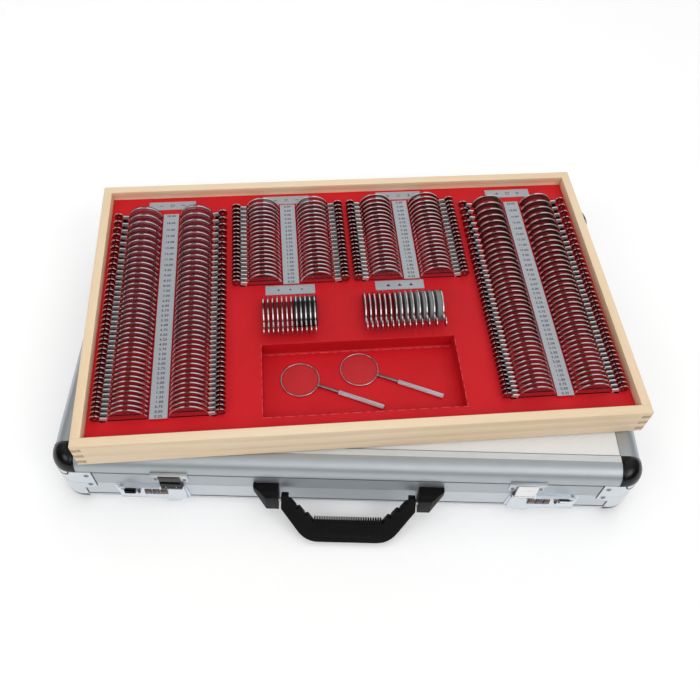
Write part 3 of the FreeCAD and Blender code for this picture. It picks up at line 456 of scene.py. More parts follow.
def make_satin():
    """Red satin on board: a fine weave with a soft sheen."""
    made = Finish("red_satin", (0.60, 0.012, 0.018), 0.5)
    made.set("Specular IOR Level", 0.25)
    thread = made.stretched((1, 1, 1), -TRAY_TURN)
    weave = made.product(made.wave(900.0, thread, 0.6, "X"), made.wave(900.0, thread, 0.6, "Y"))
    mixed = made.mixed((weave, 0.35), (made.noise(14.0, 4.0), 0.7))
    made.vary("Base Color", mixed, (0.2, (0.50, 0.007, 0.013)), (0.8, (0.65, 0.011, 0.017)))
    made.vary("Roughness", weave, (0.1, 0.42), (0.9, 0.6))
    made.bump(weave, 0.06, 0.5)


def make_label():
    """Printed plate: nearly even, with faint brushed streaks."""
    colour = (0.43, 0.455, 0.485)
    made = Finish("label_plate", colour, 0.4, 0.2)
    streaks = made.noise(1.0, 3.0, made.stretched((60, 1500, 1500)))
    made.vary("Base Color", streaks, (0.3, tinted(colour, 0.9)), (0.7, colour))
    made.vary("Roughness", made.noise(250.0), (0.3, 0.34), (0.7, 0.46))
    made.bump(streaks, 0.01, 0.3)


def make_groove():
    """Painted shade for the rails' groove and the inner edge of their flange, darker in a row of dots along
    X.
    """
    made = Finish("rail_groove", (0.05, 0.06, 0.07), 0.6)
    made.vary("Base Color", made.wave(115.0), (0.35, (0.025, 0.03, 0.035)), (0.65, (0.14, 0.16, 0.18)))


def make_ground_glass():
    """The ground edge of a prism, grey and dull."""
    made = Finish("ground_glass", (0.17, 0.19, 0.19), 0.55)
    fine = made.noise(1800.0, 3.0)
    made.vary("Base Color", fine, (0.3, (0.13, 0.15, 0.15)), (0.7, (0.22, 0.24, 0.24)))
    made.bump(fine, 0.03, 0.5)


def make_felt():
    made = Finish("lining", (0.03, 0.03, 0.033), 0.9)
    felt = made.noise(700.0, 6.0)
    made.vary("Base Color", felt, (0.3, (0.018, 0.018, 0.02)), (0.7, (0.05, 0.05, 0.055)))
    made.set("Sheen Weight", 0.3)
    made.bump(felt, 0.3, 0.6)


# colour, roughness, grain along X, Y and Z, spread of the roughness, and how metallic it is

# The lid, side and base rails are one aluminium: the lid and side copy is painted darker and the base copy
# lighter, painted shade and painted light for how the light falls on each band.
RAIL_METAL_SHADED = (0.455, 0.49, 0.515)
RAIL_METAL_LIT = (0.62, 0.66, 0.695)
ALONG_X = (200, 1800, 1800)
METALS = {
    "lid_rail": (RAIL_METAL_SHADED, 0.38, ALONG_X, 0.04, 0.72),
    "base_rail": (RAIL_METAL_LIT, 0.38, ALONG_X, 0.04, 0.72),
    "side_rail": (RAIL_METAL_SHADED, 0.38, (1800, 200, 1800), 0.04, 0.72),
    # the flange faces take a lighter, less metallic copy of the rail metal: painted light
    "rail_flange": ((0.74, 0.76, 0.77), 0.38, ALONG_X, 0.04, 0.2),
    "neck_metal": ((0.84, 0.89, 0.90), 0.36, (900, 900, 900), 0.06, 0.75),
    "steel_plate": ((0.70, 0.735, 0.775), 0.4, (300, 300, 1500), 0.05),
    "rivet_steel": ((0.33, 0.34, 0.35), 0.3, (900, 900, 900), 0.05),
    "latch_satin": ((0.76, 0.80, 0.85), 0.36, (400, 400, 900), 0.05),
    "latch_chrome": ((0.84, 0.84, 0.84), 0.07, (300, 300, 900), 0.03),
    # a copy of the latch chrome for the left latch, painted near black: a painted dark reflection
    "dark_chrome": ((0.004, 0.004, 0.005), 0.30, (300, 300, 900), 0.05),
    "dial_metal": ((0.20, 0.185, 0.18), 0.34, (2000, 60, 60), 0.1),
    "steel_pin": ((0.45, 0.46, 0.48), 0.25, (60, 1500, 1500), 0.1),
    # the rims and the cross cylinders' rings are silver metal; their pink tint paints the red lining they
    # reflect
    "lens_metal": ((0.80, 0.73, 0.74), 0.11, (300, 300, 300), 0.03),
    # the tabs' discs are the rims' metal, painted dark red as the reflection of the lining
    "tab_metal": ((0.30, 0.22, 0.23), 0.07, (900, 900, 900), 0.02),
    "ring_metal": ((0.55, 0.50, 0.52), 0.1, (400, 400, 400), 0.05),
    "stem_metal": ((0.30, 0.29, 0.30), 0.3, (400, 400, 400), 0.08),
    "grip_metal": ((0.74, 0.73, 0.76), 0.34, (2000, 2000, 2000), 0.1),
}

# colour, roughness, scale and depth of the grain, and gloss

PLASTICS = {
    "black_plastic": ((0.0025, 0.0025, 0.003), 0.16, 300.0, 0.004, 0.32),
    "black_plastic_lower": ((0.03, 0.03, 0.033), 0.4, 500.0, 0.02, 0.4),
    "handle_plastic": ((0.003, 0.003, 0.0035), 0.5, 900.0, 0.02, 0.12),
    "handle_rib": ((0.004, 0.004, 0.0045), 0.5, 900.0, 0.02, 0.14),
    "opaque_disc": ((0.003, 0.003, 0.003), 0.3, 700.0, 0.01, 0.3),
}

# colour, share of the light that is kept back, and roughness

GLASSES = {
    # lens glass keeps back little light; the dark maroon of this glass mostly paints the shade on the lining
    # under the stacked lenses
    "clear_glass": ((0.10, 0.032, 0.042), 0.14, 0.04),
    "pale_glass": ((0.30, 0.13, 0.14), 0.05, 0.03),
    # dark mauve glass whose colour paints shade: on the outer zone of strong concave lenses, between the
    # first accessories and between the weak prisms
    "cut_glass": ((0.125, 0.04, 0.052), 0.46, 0.22),
    # near-black glass for the outer zone of strong convex lenses: the glass is clear, and this dark is
    # painted
    "thick_glass": ((0.010, 0.016, 0.014), 0.74, 0.05),
}
# print, and flat colours that paint the shade in recesses, slots and channels and the highlights on the
# lining's edges
INKS_AND_PAINTED_LIGHT = {
    "number_ink": (0.025, 0.008, 0.025),
    # near black for slots, gaps and engraved lines: painted shade
    "recess": (0.012, 0.012, 0.013),
    "dial_digits": (0.62, 0.10, 0.13),
    "slot_shade": (0.34, 0.006, 0.010),
    "lining_edge": (0.62, 0.13, 0.14),
    "channel_shade": (0.020, 0.003, 0.004),
}


def make_finishes():
    for make, table in ((make_metal, METALS), (make_plastic, PLASTICS), (make_glass, GLASSES)):
        for name, values in table.items():
            make(name, *values)
    for name, colour in INKS_AND_PAINTED_LIGHT.items():
        make_ink(name, colour)
    make_wood("pine_long", -TRAY_TURN)
    make_wood("pine_cross", -TRAY_TURN - 90)
    for make in (make_panel_sheet, make_satin, make_label, make_groove, make_ground_glass, make_felt):
        make()


# carrying case

FLUTES = 5
FLUTE = ((0.34, 0.0), (0.4, 0.5), (0.8, 0.5), (0.86, 0.0))
GROOVE = (EDGE + 0.2, EDGE + 2.1)
GROOVE_DEPTH = 0.9
RIM_DEPTH = {"lid": TOP - SPLIT - SEAM / 2, "base": SPLIT - SEAM / 2}
WINDOW = (170.6, 200.0, 25.7, 37.9)
CORNER_CENTRE = Vector((HALF_W - CORNER, -(HALF_D - CORNER), 0))


def from_shell(shell, depth):
    """The height of a point that lies this deep in the lid or the base."""
    return TOP - depth if shell == "lid" else depth


def rail_section(rim, flutes):
    """The closed section of a rail as (inset, depth): band, groove, bullnose and flange."""
    outer = [(0.0, rim), (0.0, EDGE + 2.3), (GROOVE_DEPTH, GROOVE[1])]
    outer += [(GROOVE_DEPTH, EDGE + 0.35), (0.1, GROOVE[0])]
    outer += arc(EDGE, EDGE, EDGE, 178, 270, 14)
    for count in range(flutes):
        pitch = (FLANGE - EDGE) / flutes
        outer += [(EDGE + count * pitch + share * pitch, depth) for share, depth in FLUTE]
    outer += [(FLANGE - 0.2, 0.0), (FLANGE, 0.2), (FLANGE, WALL), (EDGE, WALL)]
    outer += arc(EDGE, EDGE, EDGE - WALL, 270, 180, 6)[1:]
    return [*outer, (WALL, rim)]


def flat_rail(shape, shell, side, start, end, rim):
    """A length of a front or rear rail, with dark strips of painted shade in its groove and along its inner
    edge, and its flange faces in the copy that paints light on them.
    """
    section = rail_section(rim, FLUTES)
    placed = [(side * (HALF_D - inset), from_shell(shell, depth)) for inset, depth in section]
    first = len(shape.faces)
    shape.along_x(placed, start, end)
    # The flange's top faces take the lighter flange copy, which paints light on them.
    for index, (near, far) in enumerate(zip(section, section[1:])):
        if min(near[0], far[0]) > EDGE and max(near[1], far[1]) < WALL / 2:
            shape.slots[first + index] = 2
    # Dark strips of painted shade along the flange's inner edge and in the groove.
    dark = [((FLANGE - 0.1, FLANGE + 0.4), (0.1, 0.6))]
    if rim > GROOVE[1]:
        dark.append(((-0.02, 0.5), GROOVE))
    for insets, depths in dark:
        near, far = (side * (HALF_D - inset) for inset in insets)
        low, high = (from_shell(shell, depth) for depth in depths)
        shape.box((start, near, low), (end, far, high), 1)


def make_front_and_rear_rails():
    reach = HALF_W - FLANGE
    near, far, low, high = WINDOW
    for shell, body in SHELLS.items():
        rim = RIM_DEPTH[shell]
        for name, side in (("front", -1), ("rear", 1)):
            shape = Shape()
            holed = (shell, name) == ("base", "front")
            spans = [(-reach, -far), (-near, near), (far, reach)] if holed else [(-reach, reach)]
            for start, end in spans:
                flat_rail(shape, shell, side, start, end, rim)
            for start, end in ((-far, -near), (near, far)) if holed else ():
                flat_rail(shape, shell, side, start, end, low)
                shape.box((start, -HALF_D, high), (end, -HALF_D + WALL, rim))
            looks = f"{shell}_rail rail_groove rail_flange"
            stand_in(f"{shell}_{name}_rail", "drawn", shape, looks, body, SHARP_RAIL)


def make_side_rails():
    reach = HALF_D - FLANGE
    for shell, body in SHELLS.items():
        shape = Shape()
        section = [(inset, from_shell(shell, depth)) for inset, depth in rail_section(RIM_DEPTH[shell], 0)]
        for side in (-1, 1):
            ends = (-reach, reach)
            shape.sweep([[(side * (HALF_W - inset), y, height) for inset, height in section] for y in ends])
        stand_in(f"{shell}_side_rails", "drawn", shape, "side_rail", body, SHARP_RAIL)


def heading(angle):
    """The level direction at an angle in radians from X."""
    return Vector((cos(angle), sin(angle), 0))


def station(base, outward, section):
    """The points of a section of (reach, height), seen outward from a base point."""
    return [base + outward * reach + Vector((0, 0, height)) for reach, height in section]


def corner_stations(straight, count):
    """Places round a front right corner as (base point, outward direction), with straight ends."""
    outwards = [heading(radians(-90 + 90 * index / count)) for index in range(count + 1)]
    first = (CORNER_CENTRE - Vector((straight, 0, 0)), outwards[0])
    last = (CORNER_CENTRE + Vector((0, straight, 0)), outwards[-1])
    return [first, *((CORNER_CENTRE, outward) for outward in outwards), last]


def four_corners():
    return [stretch(hand, side) for hand in (1, -1) for side in (1, -1)]


def make_corner_caps():
    """Moulded balls, with a small lip where they meet the rails and the plates."""
    radius = CORNER + PROUD
    flat = radius - EDGE
    lip = 0.5
    profile = [(flat + EDGE * sin(radians(a)), EDGE * (1 - cos(radians(a)))) for a in range(0, 88, 6)]
    profile += [(radius, EDGE - lip), (radius - lip * 0.3, EDGE - lip * 0.3), (radius - lip, EDGE)]
    inner = Vector((HALF_W - FLANGE, -(HALF_D - FLANGE), 0))
    for (shell, body), look in zip(SHELLS.items(), ("black_plastic", "black_plastic_lower")):
        shape = Shape()
        section = [(reach, from_shell(shell, depth)) for reach, depth in profile]
        loops = [station(*spot, section) for spot in corner_stations(FLANGE - CORNER, 14)]
        heights = (from_shell(shell, 0.0), from_shell(shell, EDGE))
        top, foot = (inner + Vector((0, 0, height)) for height in heights)
        for place in four_corners():
            shape.sweep(loops, 0, place, closed=False, capped=False)
            shape.add([*[loop[0] for loop in loops], top], [range(len(loops) + 1)], 0, place)
            shape.add([*[loop[-1] for loop in loops], foot], [range(len(loops) + 1)], 0, place)
            for loop in (loops[0], loops[-1]):
                shape.add([*loop, foot, top], [range(len(loop) + 2)], 0, place)
        weld(stand_in(f"{shell}_corner_caps", "moulded", shape, look, body, SHARP_ROUND))


PLATE_REACH = 37.5
PLATE_FOOT = 25.0
PLATE_STEP = PLATE_FOOT + 0.01
PLATE_EASE = 0.25
RIVET_INSET = 32.0
RIVET_HEIGHT = {"lid": 57.0, "base": 39.0}


def plate_heights(shell, distance):
    """The lower and upper height of a corner plate, this far from the case's corner edge."""
    if shell == "lid":
        return SPLIT + SEAM / 2, TOP - EDGE
    if distance > PLATE_FOOT:
        share = (distance - PLATE_FOOT) / (PLATE_REACH - PLATE_FOOT)
        return SPLIT - 6.0 - 5.5 * (1 - share), SPLIT - SEAM / 2
    return EDGE, SPLIT - SEAM / 2


def plate_stations():
    """Places along a front right plate as (base point, outward direction, distance)."""
    runs = (PLATE_REACH, PLATE_STEP, PLATE_FOOT)
    front = [(Vector((HALF_W - run, -(HALF_D - CORNER), 0)), Vector((0, -1, 0)), run) for run in runs]
    bend = [(base, outward, CORNER) for base, outward in corner_stations(0, 12)[1:-1]]
    flank = [(Vector((HALF_W - CORNER, -(HALF_D - run), 0)), Vector((1, 0, 0)), run) for run in runs[::-1]]
    return front + bend + flank


def make_corner_plates():
    outer = CORNER + PROUD
    edge = outer - PLATE_EASE
    for shell, body in SHELLS.items():
        shape = Shape()
        loops = []
        for base, outward, run in plate_stations():
            low, high = plate_heights(shell, run)
            section = [(CORNER, low), (edge, low), (outer, low + PLATE_EASE)]
            section += [(outer, high - PLATE_EASE), (edge, high), (CORNER, high)]
            loops.append(station(base, outward, section))
        for place in four_corners():
            shape.sweep(loops, 0, place)
            add_plate_edges(shape, shell, place)
            if shell == "lid":
                add_tongue(shape, place)
        add_plate_rivets(shape, shell)
        looks = "steel_plate recess rivet_steel"
        stand_in(f"{shell}_corner_plates", "pressed", shape, looks, body)


def add_rivet(shape, place, radius, height, slot=0):
    """A domed rivet head with a cross slot, on the XY plane of its place; the slot is drawn as dark bars of
    painted shade.
    """
    dome = [(radius, -0.2), (radius, 0.15 * height), (0.85 * radius, 0.7 * height)]
    dome += [(0.45 * radius, height), (0.1 * radius, height)]
    shape.turned(dome, 18, slot, place)
    arm = 0.62 * radius
    half = 0.13 * radius
    for angle in (45, 135):
        bar = place @ turn(angle, "Z")
        shape.box((-arm, -half, 0.6 * height), (arm, half, height + 0.02), 1, bar)


TONGUE = ((12.2, 8.3, -0.3), (12.2, 8.3, 0.14), (13.7, 9.8, 0.14), (13.7, 9.8, -0.3))


def add_tongue(shape, place):
    """The outline of the cap's tongue, a half ellipse below the ball on the round of the corner, drawn as a
    dark band of painted shade in the engraved line.
    """
    radius = CORNER + PROUD
    loops = []
    for along, drop in arc(0, 0, 1.0, 180, 360, 28):
        loop = []
        for reach, sink, proud in TONGUE:
            outward = heading(radians(-45) + along * reach / radius)
            loop += station(CORNER_CENTRE, outward, [(radius + proud, TOP - EDGE + drop * sink)])
        loops.append(loop)
    shape.sweep(loops, 1, place)


def add_plate_edges(shape, shell, place):
    """Dark strips of painted shade in the gaps beside the ends of a corner plate."""
    for reach in (PLATE_REACH,) if shell == "lid" else (PLATE_REACH, PLATE_STEP):
        low, high = plate_heights(shell, reach)
        if reach < PLATE_REACH:
            low, high = EDGE, low
        near, far = HALF_W - reach - 0.7, HALF_W - reach + 0.1
        shape.box((near, -HALF_D - 0.3, low), (far, -HALF_D + 0.2, high), 1, place)
        near, far = HALF_D - reach - 0.7, HALF_D - reach + 0.1
        shape.box((HALF_W - 0.2, -far, low), (HALF_W + 0.3, -near, high), 1, place)


def add_plate_rivets(shape, shell):
    """Rivets on both faces of each corner plate."""
    height = RIVET_HEIGHT[shell]
    for place in four_corners():
        front = place @ shift(HALF_W - RIVET_INSET, -(HALF_D + PROUD), height) @ turn(90, "X")
        flank = place @ shift(HALF_W + PROUD - 0.65, -(HALF_D - RIVET_INSET), height) @ turn(90, "Y")
        for spot in (front, flank):
            add_rivet(shape, spot, 2.6, 0.6, 2)


HINGES = (-165.0, 165.0)
HINGE_HALF = 20.0
HINGE_AXIS = HALF_D + 3.2
KNUCKLE = 3.0
KNUCKLE_BORE = 1.42
LEAF = 1.2


def make_hinges():
    """A pair of hinges at the rear: riveted leaves rolled round a pin, in three knuckles."""
    inner = HINGE_HALF / 2
    lid_spans = [(-inner + 0.2, inner - 0.2)]
    base_spans = [(-HINGE_HALF, -inner), (inner, HINGE_HALF)]
    for shell, above, spans in (("base", -1, base_spans), ("lid", 1, lid_spans)):
        shape = Shape()
        for middle in HINGES:
            near, far = SPLIT + above * 3.4, SPLIT + above * 18.0
            shape.box((middle - HINGE_HALF, HALF_D, near), (middle + HINGE_HALF, HALF_D + LEAF, far))
            axis = shift(middle, HINGE_AXIS, SPLIT) @ turn(90, "Y")
            for start, end in spans:
                root = SPLIT + above * 3.6
                shape.box((middle + start, HALF_D, SPLIT), (middle + end, HALF_D + LEAF, root))
                section = [(KNUCKLE_BORE, start), (KNUCKLE, start), (KNUCKLE, end), (KNUCKLE_BORE, end)]
                shape.hoop(section, 32, 0, axis)
            for step in (-13.0, 0.0, 13.0):
                spot = shift(middle + step, HALF_D + LEAF, SPLIT + above * 11.0) @ turn(-90, "X")
                add_rivet(shape, spot, 2.1, 0.5, 2)
        looks = "steel_plate recess rivet_steel"
        stand_in(f"hinge_{shell}_leaves", "rolled", shape, looks, SHELLS[shell])
    dress("hinge_pins", "steel_pin")


# latches and handle

CATCH_FACE = HALF_D + 1.2
EAR_FACE = HALF_D + 1.0
LOCK_FACE = HALF_D + 4.8
LATCH = 169.0
CREASE = 44.6
FLAP_RIBS = 13
TEETH = 30


def make_latches():
    catches = Shape()
    for hand in (-1, 1):
        for step in (-13.6, 13.6):
            add_rivet(catches, shift(hand * LATCH + step, -CATCH_FACE, 54.6) @ turn(90, "X"), 2.1, 0.5)
    piece("catch_rivets", catches, "rivet_steel recess", "case_lid")
    eased("latch_catch_plates", "steel_plate", "case_lid", 0.3)
    dress("latch_pins", "steel_pin")
    # The left hasp and slide button take the chrome painted near black, a painted dark reflection; the right
    # ones take the plain chrome.
    for hand, sign, look in (("left", -1, "dark_chrome"), ("right", 1, "latch_chrome")):
        eased(f"latch_{hand}_housing", "latch_satin", "case_base", 0.25)
        make_hasp(hand, look)
        make_slide_button(hand, look)
        make_lock_details(hand, sign)
        for count in (1, 2, 3):
            make_dial(hand, count)


def node_box(node):
    """The middle and the two corners of a CAD node, in millimetres."""
    low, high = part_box(node)
    return (low + high) / 2 / MM, low / MM, high / MM


def make_hasp(hand, look):
    """The flap over the catch: a rolled upper part, a crease with two studs and a lower lip."""
    node = f"latch_{hand}_hasp"
    middle, low, high = node_box(node)
    front = low.y
    inner = front + 1.8
    section = [(inner, high.z), (front + 0.7, high.z), (front + 0.6, 55.5)]
    section += arc(front + 6.0, 50.6, 6.0, 145, 180, 6)
    section += [(front, CREASE + 0.5), (front + 0.5, CREASE), (front, CREASE - 0.5)]
    section += [(front, low.z + 2.0), (front + 0.9, low.z), (high.y - 1.2, low.z)]
    section += [(high.y, 40.4), (inner, 46.0)]
    shape = Shape()
    shape.along_x(section, low.x, high.x)
    pitch = (high.x - low.x - 1.6) / FLAP_RIBS
    # Only the left flap, painted dark, gets its ribs: dark strips of painted shade in the grooves between
    # them.
    for index in range(FLAP_RIBS if look == "dark_chrome" else 0):
        left = low.x + 0.8 + index * pitch
        shape.box((left, front + 0.02, CREASE + 1.0), (left + 0.55 * pitch, front + 0.6, 50.0), 2)
    # The studs are in the bright chrome, which on the dark left flap paints their two highlights.
    for side in (-1, 1):
        stud = shift(middle.x + side * 4.9, front + 0.2, CREASE) @ turn(90, "X")
        shape.turned([(0.75, -0.3), (0.75, 0.05), (0.4, 0.2)], 12, 1, stud)
    looks = f"{look} latch_chrome recess"
    stand_in(node, "folded", shape, looks, f"{hand}_hasp", SHARP_ROUND)


def make_lock_details(hand, sign):
    """Rivets of the lock's ears, a dark surround of painted shade round its button, and the pointer beside
    it in the same dark colour.
    """
    shape = Shape()
    for x, z in ((217.5, 38.0), (158.5, 17.0)):
        add_rivet(shape, shift(sign * x, -EAR_FACE, z) @ turn(90, "X"), 2.2, 0.6)
    shape.box((sign * 203.7, -LOCK_FACE - 0.05, 31.9), (sign * 215.3, -LOCK_FACE + 0.2, 39.1), 1)
    pointer = [(202.6, 38.6), (202.6, 30.5), (201.4, 30.5), (199.4, 34.0), (201.4, 38.6)]
    loops = [[(sign * x, y, z) for x, z in pointer] for y in (-LOCK_FACE - 0.5, -LOCK_FACE + 0.2)]
    shape.sweep(loops, 1)
    piece(f"lock_{hand}_details", shape, "rivet_steel recess", "case_base")


def make_slide_button(hand, look):
    """Two rolls with a waist between them, on a stem that runs in the lock's track; a dark fill behind the
    waist paints its shade.
    """
    node = f"latch_{hand}_slide_button"
    _, low, high = node_box(node)
    shape = Shape()
    roll = (high.z - low.z) / 4 - 0.4
    for height in (low.z + roll, high.z - roll):
        section = [(low.y + roll + y, height + z) for y, z in arc(0, 0, roll, 0, 360, 16)[:-1]]
        shape.along_x(section, low.x, high.x)
    shape.box((low.x + 0.5, low.y + 1.0, low.z + 0.6), (high.x - 0.5, low.y + 3.3, high.z - 0.6), 1)
    shape.box((low.x + 1.5, low.y + 3.0, low.z + 1.2), (high.x - 1.5, high.y, high.z - 1.2))
    stand_in(node, "rolled", shape, f"{look} recess", f"{hand}_slide_button")


def toothed(teeth, radius, depth, height):
    """A closed outline round Z with small teeth."""
    reaches = [radius if index % 4 in (0, 1) else radius - depth for index in range(teeth * 4)]
    return [(reach * c, reach * s, height) for reach, (c, s) in zip(reaches, circle(teeth * 4))]


def make_dial(hand, count):
    """A knurled dial with its ten digits round it."""
    node = f"latch_{hand}_dial_{count}"
    middle, low, high = node_box(node)
    radius = (high.z - low.z) / 2
    half = (high.x - low.x) / 2
    place = shift(*middle) @ turn(90, "Y")
    shape = Shape()
    rings = [(-half, 0.7, 0.35), (-half + 0.5, 0.0, 0.35), (-half + 1.9, 0.0, 0.35)]
    rings += [(-half + 2.2, 0.25, 0.35), (half - 0.5, 0.25, 0.12), (half, 0.8, 0.12)]
    shape.sweep([toothed(TEETH, radius - inset, depth, height) for height, inset, depth in rings], 0, place)
    for digit in range(10):
        spot = place @ turn(36 * digit, "Z") @ shift(radius - 0.28, 0, 1.1) @ turn(90, "Y")
        write(shape, str(digit), 2.0, spot, 1)
    looks = "dial_metal dial_digits"
    stand_in(node, "knurled", shape, looks, f"{hand}_dial_{count}", SHARP_TEETH)


@cache
def glyph_mesh(text):
    """The flat outline of a line of text, centred, for a digit height of 1."""
    curve = bpy.data.curves.new("text", "FONT")
    curve.body = text
    curve.align_x = "CENTER"
    curve.size = 1.0
    curve.resolution_u = 3
    curve.offset = 0.03
    curve.space_character = 1.12
    holder = bpy.data.objects.new("text", curve)
    mesh = bpy.data.meshes.new_from_object(holder)
    heights = [vertex.co.y for vertex in mesh.vertices]
    low, high = min(heights), max(heights)
    scale = 1 / (high - low)
    points = [(vertex.co.x * scale, (vertex.co.y - (low + high) / 2) * scale, 0) for vertex in mesh.vertices]
    faces = [list(polygon.vertices) for polygon in mesh.polygons]
    bpy.data.objects.remove(holder)
    bpy.data.curves.remove(curve)
    bpy.data.meshes.remove(mesh)
    return points, faces


def write(shape, text, height, place, slot=0):
    points, faces = glyph_mesh(text)
    shape.add(points, faces, slot, place @ stretch(height, height))


HANDLE_PLACE = shift(0.0, -191.0, 36.0) @ turn(50.0, "X")
HANDLE_HALF = 64.5
HANDLE_THICK = 4.6
GRIP = (-22.0, -42.3)
GRIP_HALF = 36.0
RIBS = 28
RIB_SECTION = ((-4.2, 1.8), (-3.6, 3.6), (0.2, 4.8), (2.0, 5.1), (12.5, 5.1), (14.5, 4.5))


def handle_outline():
    """The handle's outline from its pivots round the grip, with three notches inside each arm."""
    arm = HANDLE_HALF - 7.0
    foot = GRIP_HALF - 3.0
    pivot = Vector((arm, 0))
    along = Vector((foot - arm, GRIP[0]))
    inward = Vector((along.y, -along.x)).normalized()
    inner = [(arm, 6.0), (arm, 1.0)]
    for count in range(3):
        for share, depth in ((0.12, 2.0), (0.9, 0.6), (1.0, -0.8)):
            inner.append(tuple(pivot + along * (count + share) / 3 + inward * depth))
    inner[-1] = (foot, GRIP[0])
    outer = [(HANDLE_HALF, 6.0), (HANDLE_HALF, -8.0)]
    start, bend, end = Vector((49.0, -30.2)), Vector((41.0, GRIP[1])), Vector((28.0, GRIP[1]))
    for step in range(7):
        share = step / 6
        outer.append(tuple(start.lerp(bend, share).lerp(bend.lerp(end, share), share)))
    half = [*reversed(inner), *outer]
    return half + [(-x, y) for x, y in reversed(half)]


def make_handle():
    """A moulded handle with fine ribs across its grip."""
    shape = Shape()
    shape.stack(handle_outline(), (-HANDLE_THICK, HANDLE_THICK), 0, HANDLE_PLACE)
    piece("handle_frame", shape, "handle_plastic", "handle", ["handle"], 1.4, 3)
    ribs = Shape()
    reach = GRIP_HALF - 3
    pitch = 2 * reach / RIBS
    for index in range(RIBS):
        left = -reach + (index + 0.16) * pitch
        right = left + 0.68 * pitch
        loops = []
        for x, drop in ((left, 0.3), (left + 0.25, 0.0), (right - 0.25, 0.0), (right, 0.3)):
            upper = [(x, GRIP[0] - inset, height - drop) for inset, height in RIB_SECTION]
            loops.append(upper + [(x, y, -z) for x, y, z in reversed(upper)])
        ribs.sweep(loops, 0, HANDLE_PLACE)
    piece("handle_ribs", ribs, "handle_rib", "handle", sharp=SHARP_TEETH)
    eased("handle_brackets", "handle_plastic", "case_base", 0.7, 3)
    dress("handle_pins", "steel_pin")


# tray


def make_tray_boards():
    for name, look in (("front", "long"), ("rear", "long"), ("left", "cross"), ("right", "cross")):
        eased(f"tray_{name}_board", f"pine_{look}", "tray", 0.3)
    dress("tray_bottom_board", "pine_long")


def lens_columns():
    """Each column of each bank as (bank's middle, hand, rows)."""
    return [(middle, hand, rows) for middle, _, rows, _ in BANKS.values() for hand in (-1, 1)]


def neck_channels():
    """The channels beside the rows, over which the necks of the tabs lie."""
    found = []
    for middle, hand, rows in lens_columns():
        near = middle + hand * (COLUMN + LENS_RADIUS + 0.8)
        near, far = sorted((near, near + hand * 5.4))
        found.append((near, far, rows[-1] - 0.8, rows[0] + 2.6))
    return found


def openings_in_insert():
    """The rectangles cut from the insert's top sheet, as (left, right, front, rear)."""
    found = [WELL]
    for middle, hand, rows in lens_columns():
        centre = middle + hand * COLUMN
        found.append((centre - SLOT_ROOM, centre + SLOT_ROOM, rows[-1] - ROW_FRONT, rows[0] + ROW_REAR))
    for places in (ACCESSORY_X, prism_places()):
        left, right = places[0] - ROW_REAR, places[-1] + ROW_REAR
        found.append((left, right, LOOSE_ROW - SLOT_ROOM, LOOSE_ROW + SLOT_ROOM))
    return found + neck_channels()


def add_sheet(shape, across, along, holes):
    """A flat sheet with rectangular holes, in cells whose corners meet."""
    xs = sorted({-across, across, *[x for hole in holes for x in hole[:2]]})
    ys = sorted({-along, along, *[y for hole in holes for y in hole[2:]]})
    for left, right in zip(xs, xs[1:]):
        for front, rear in zip(ys, ys[1:]):
            x, y = (left + right) / 2, (front + rear) / 2
            if not any(hole[0] < x < hole[1] and hole[2] < y < hole[3] for hole in holes):
                corners = rectangle(left, right, front, rear)
                shape.add([(*corner, INSERT_TOP) for corner in corners], [range(4)], 0, TRAY)


def add_slots(shape, start, end, slots, place):
    """Ribs along Y between start and end, with a narrow slot for each lens."""
    top = INSERT_TOP - 0.15
    bed = INSERT_TOP - SLOT_DEPTH
    stations = [(start, top)]
    for low, high in sorted(slots):
        stations += [(low, top), (low, bed), (high, bed), (high, top)]
    stations.append((end, top))
    loops = []
    for along, depth in stations:
        line = [(-SLOT_ROOM, INSERT_TOP), (-SLOT_ROOM, depth), (SLOT_ROOM, depth), (SLOT_ROOM, INSERT_TOP)]
        loops.append([(across, along, height) for across, height in line])
    for index in range(len(loops) - 1):
        slot = 0 if index % 4 == 0 else 1
        shape.sweep(loops[index : index + 2], slot, place, closed=False, capped=False)


def add_well(shape):
    """The open compartment at the front."""
    left, right, front, rear = WELL
    ease = 1.2
    loops = []
    steps = ((0, INSERT_TOP), (0.4, INSERT_TOP - 0.4), (0.6, WELL_FLOOR + ease), (0.6 + ease, WELL_FLOOR))
    for inset, height in steps:
        corners = rectangle(left + inset, right - inset, front + inset, rear - inset)
        loops.append([(*corner, height) for corner in corners])
    shape.sweep(loops, 0, TRAY, capped=False)
    shape.add(loops[-1], [range(4)], 0, TRAY)


def make_stitches():
    """Painted highlights on the folded edges of the lining, which show in dashes round the well."""
    left, right, front, rear = WELL
    shape = Shape()
    half = 0.16
    edges = [
        ((left, front), (right, front), INSERT_TOP),
        ((left, front), (left, rear), INSERT_TOP),
        ((right, front), (right, rear), INSERT_TOP),
        ((left + 3.0, rear - 1.9), (right - 3.0, rear - 1.9), WELL_FLOOR),
    ]
    for number, (start, end, height) in enumerate(edges):
        start = Vector(start)
        run = Vector(end) - start
        count = round(run.length / 4.2)
        for index in range(count):
            if (index * 7 + number * 3) % 5 > 2:
                continue
            near = start + run * (index / count)
            far = start + run * ((index + 0.9) / count)
            low = (near.x - half, near.y - half, height - 0.2)
            shape.box(low, (far.x + half, far.y + half, height + 0.12), 0, TRAY)
    piece("well_edge_highlights", shape, "lining_edge", "tray")


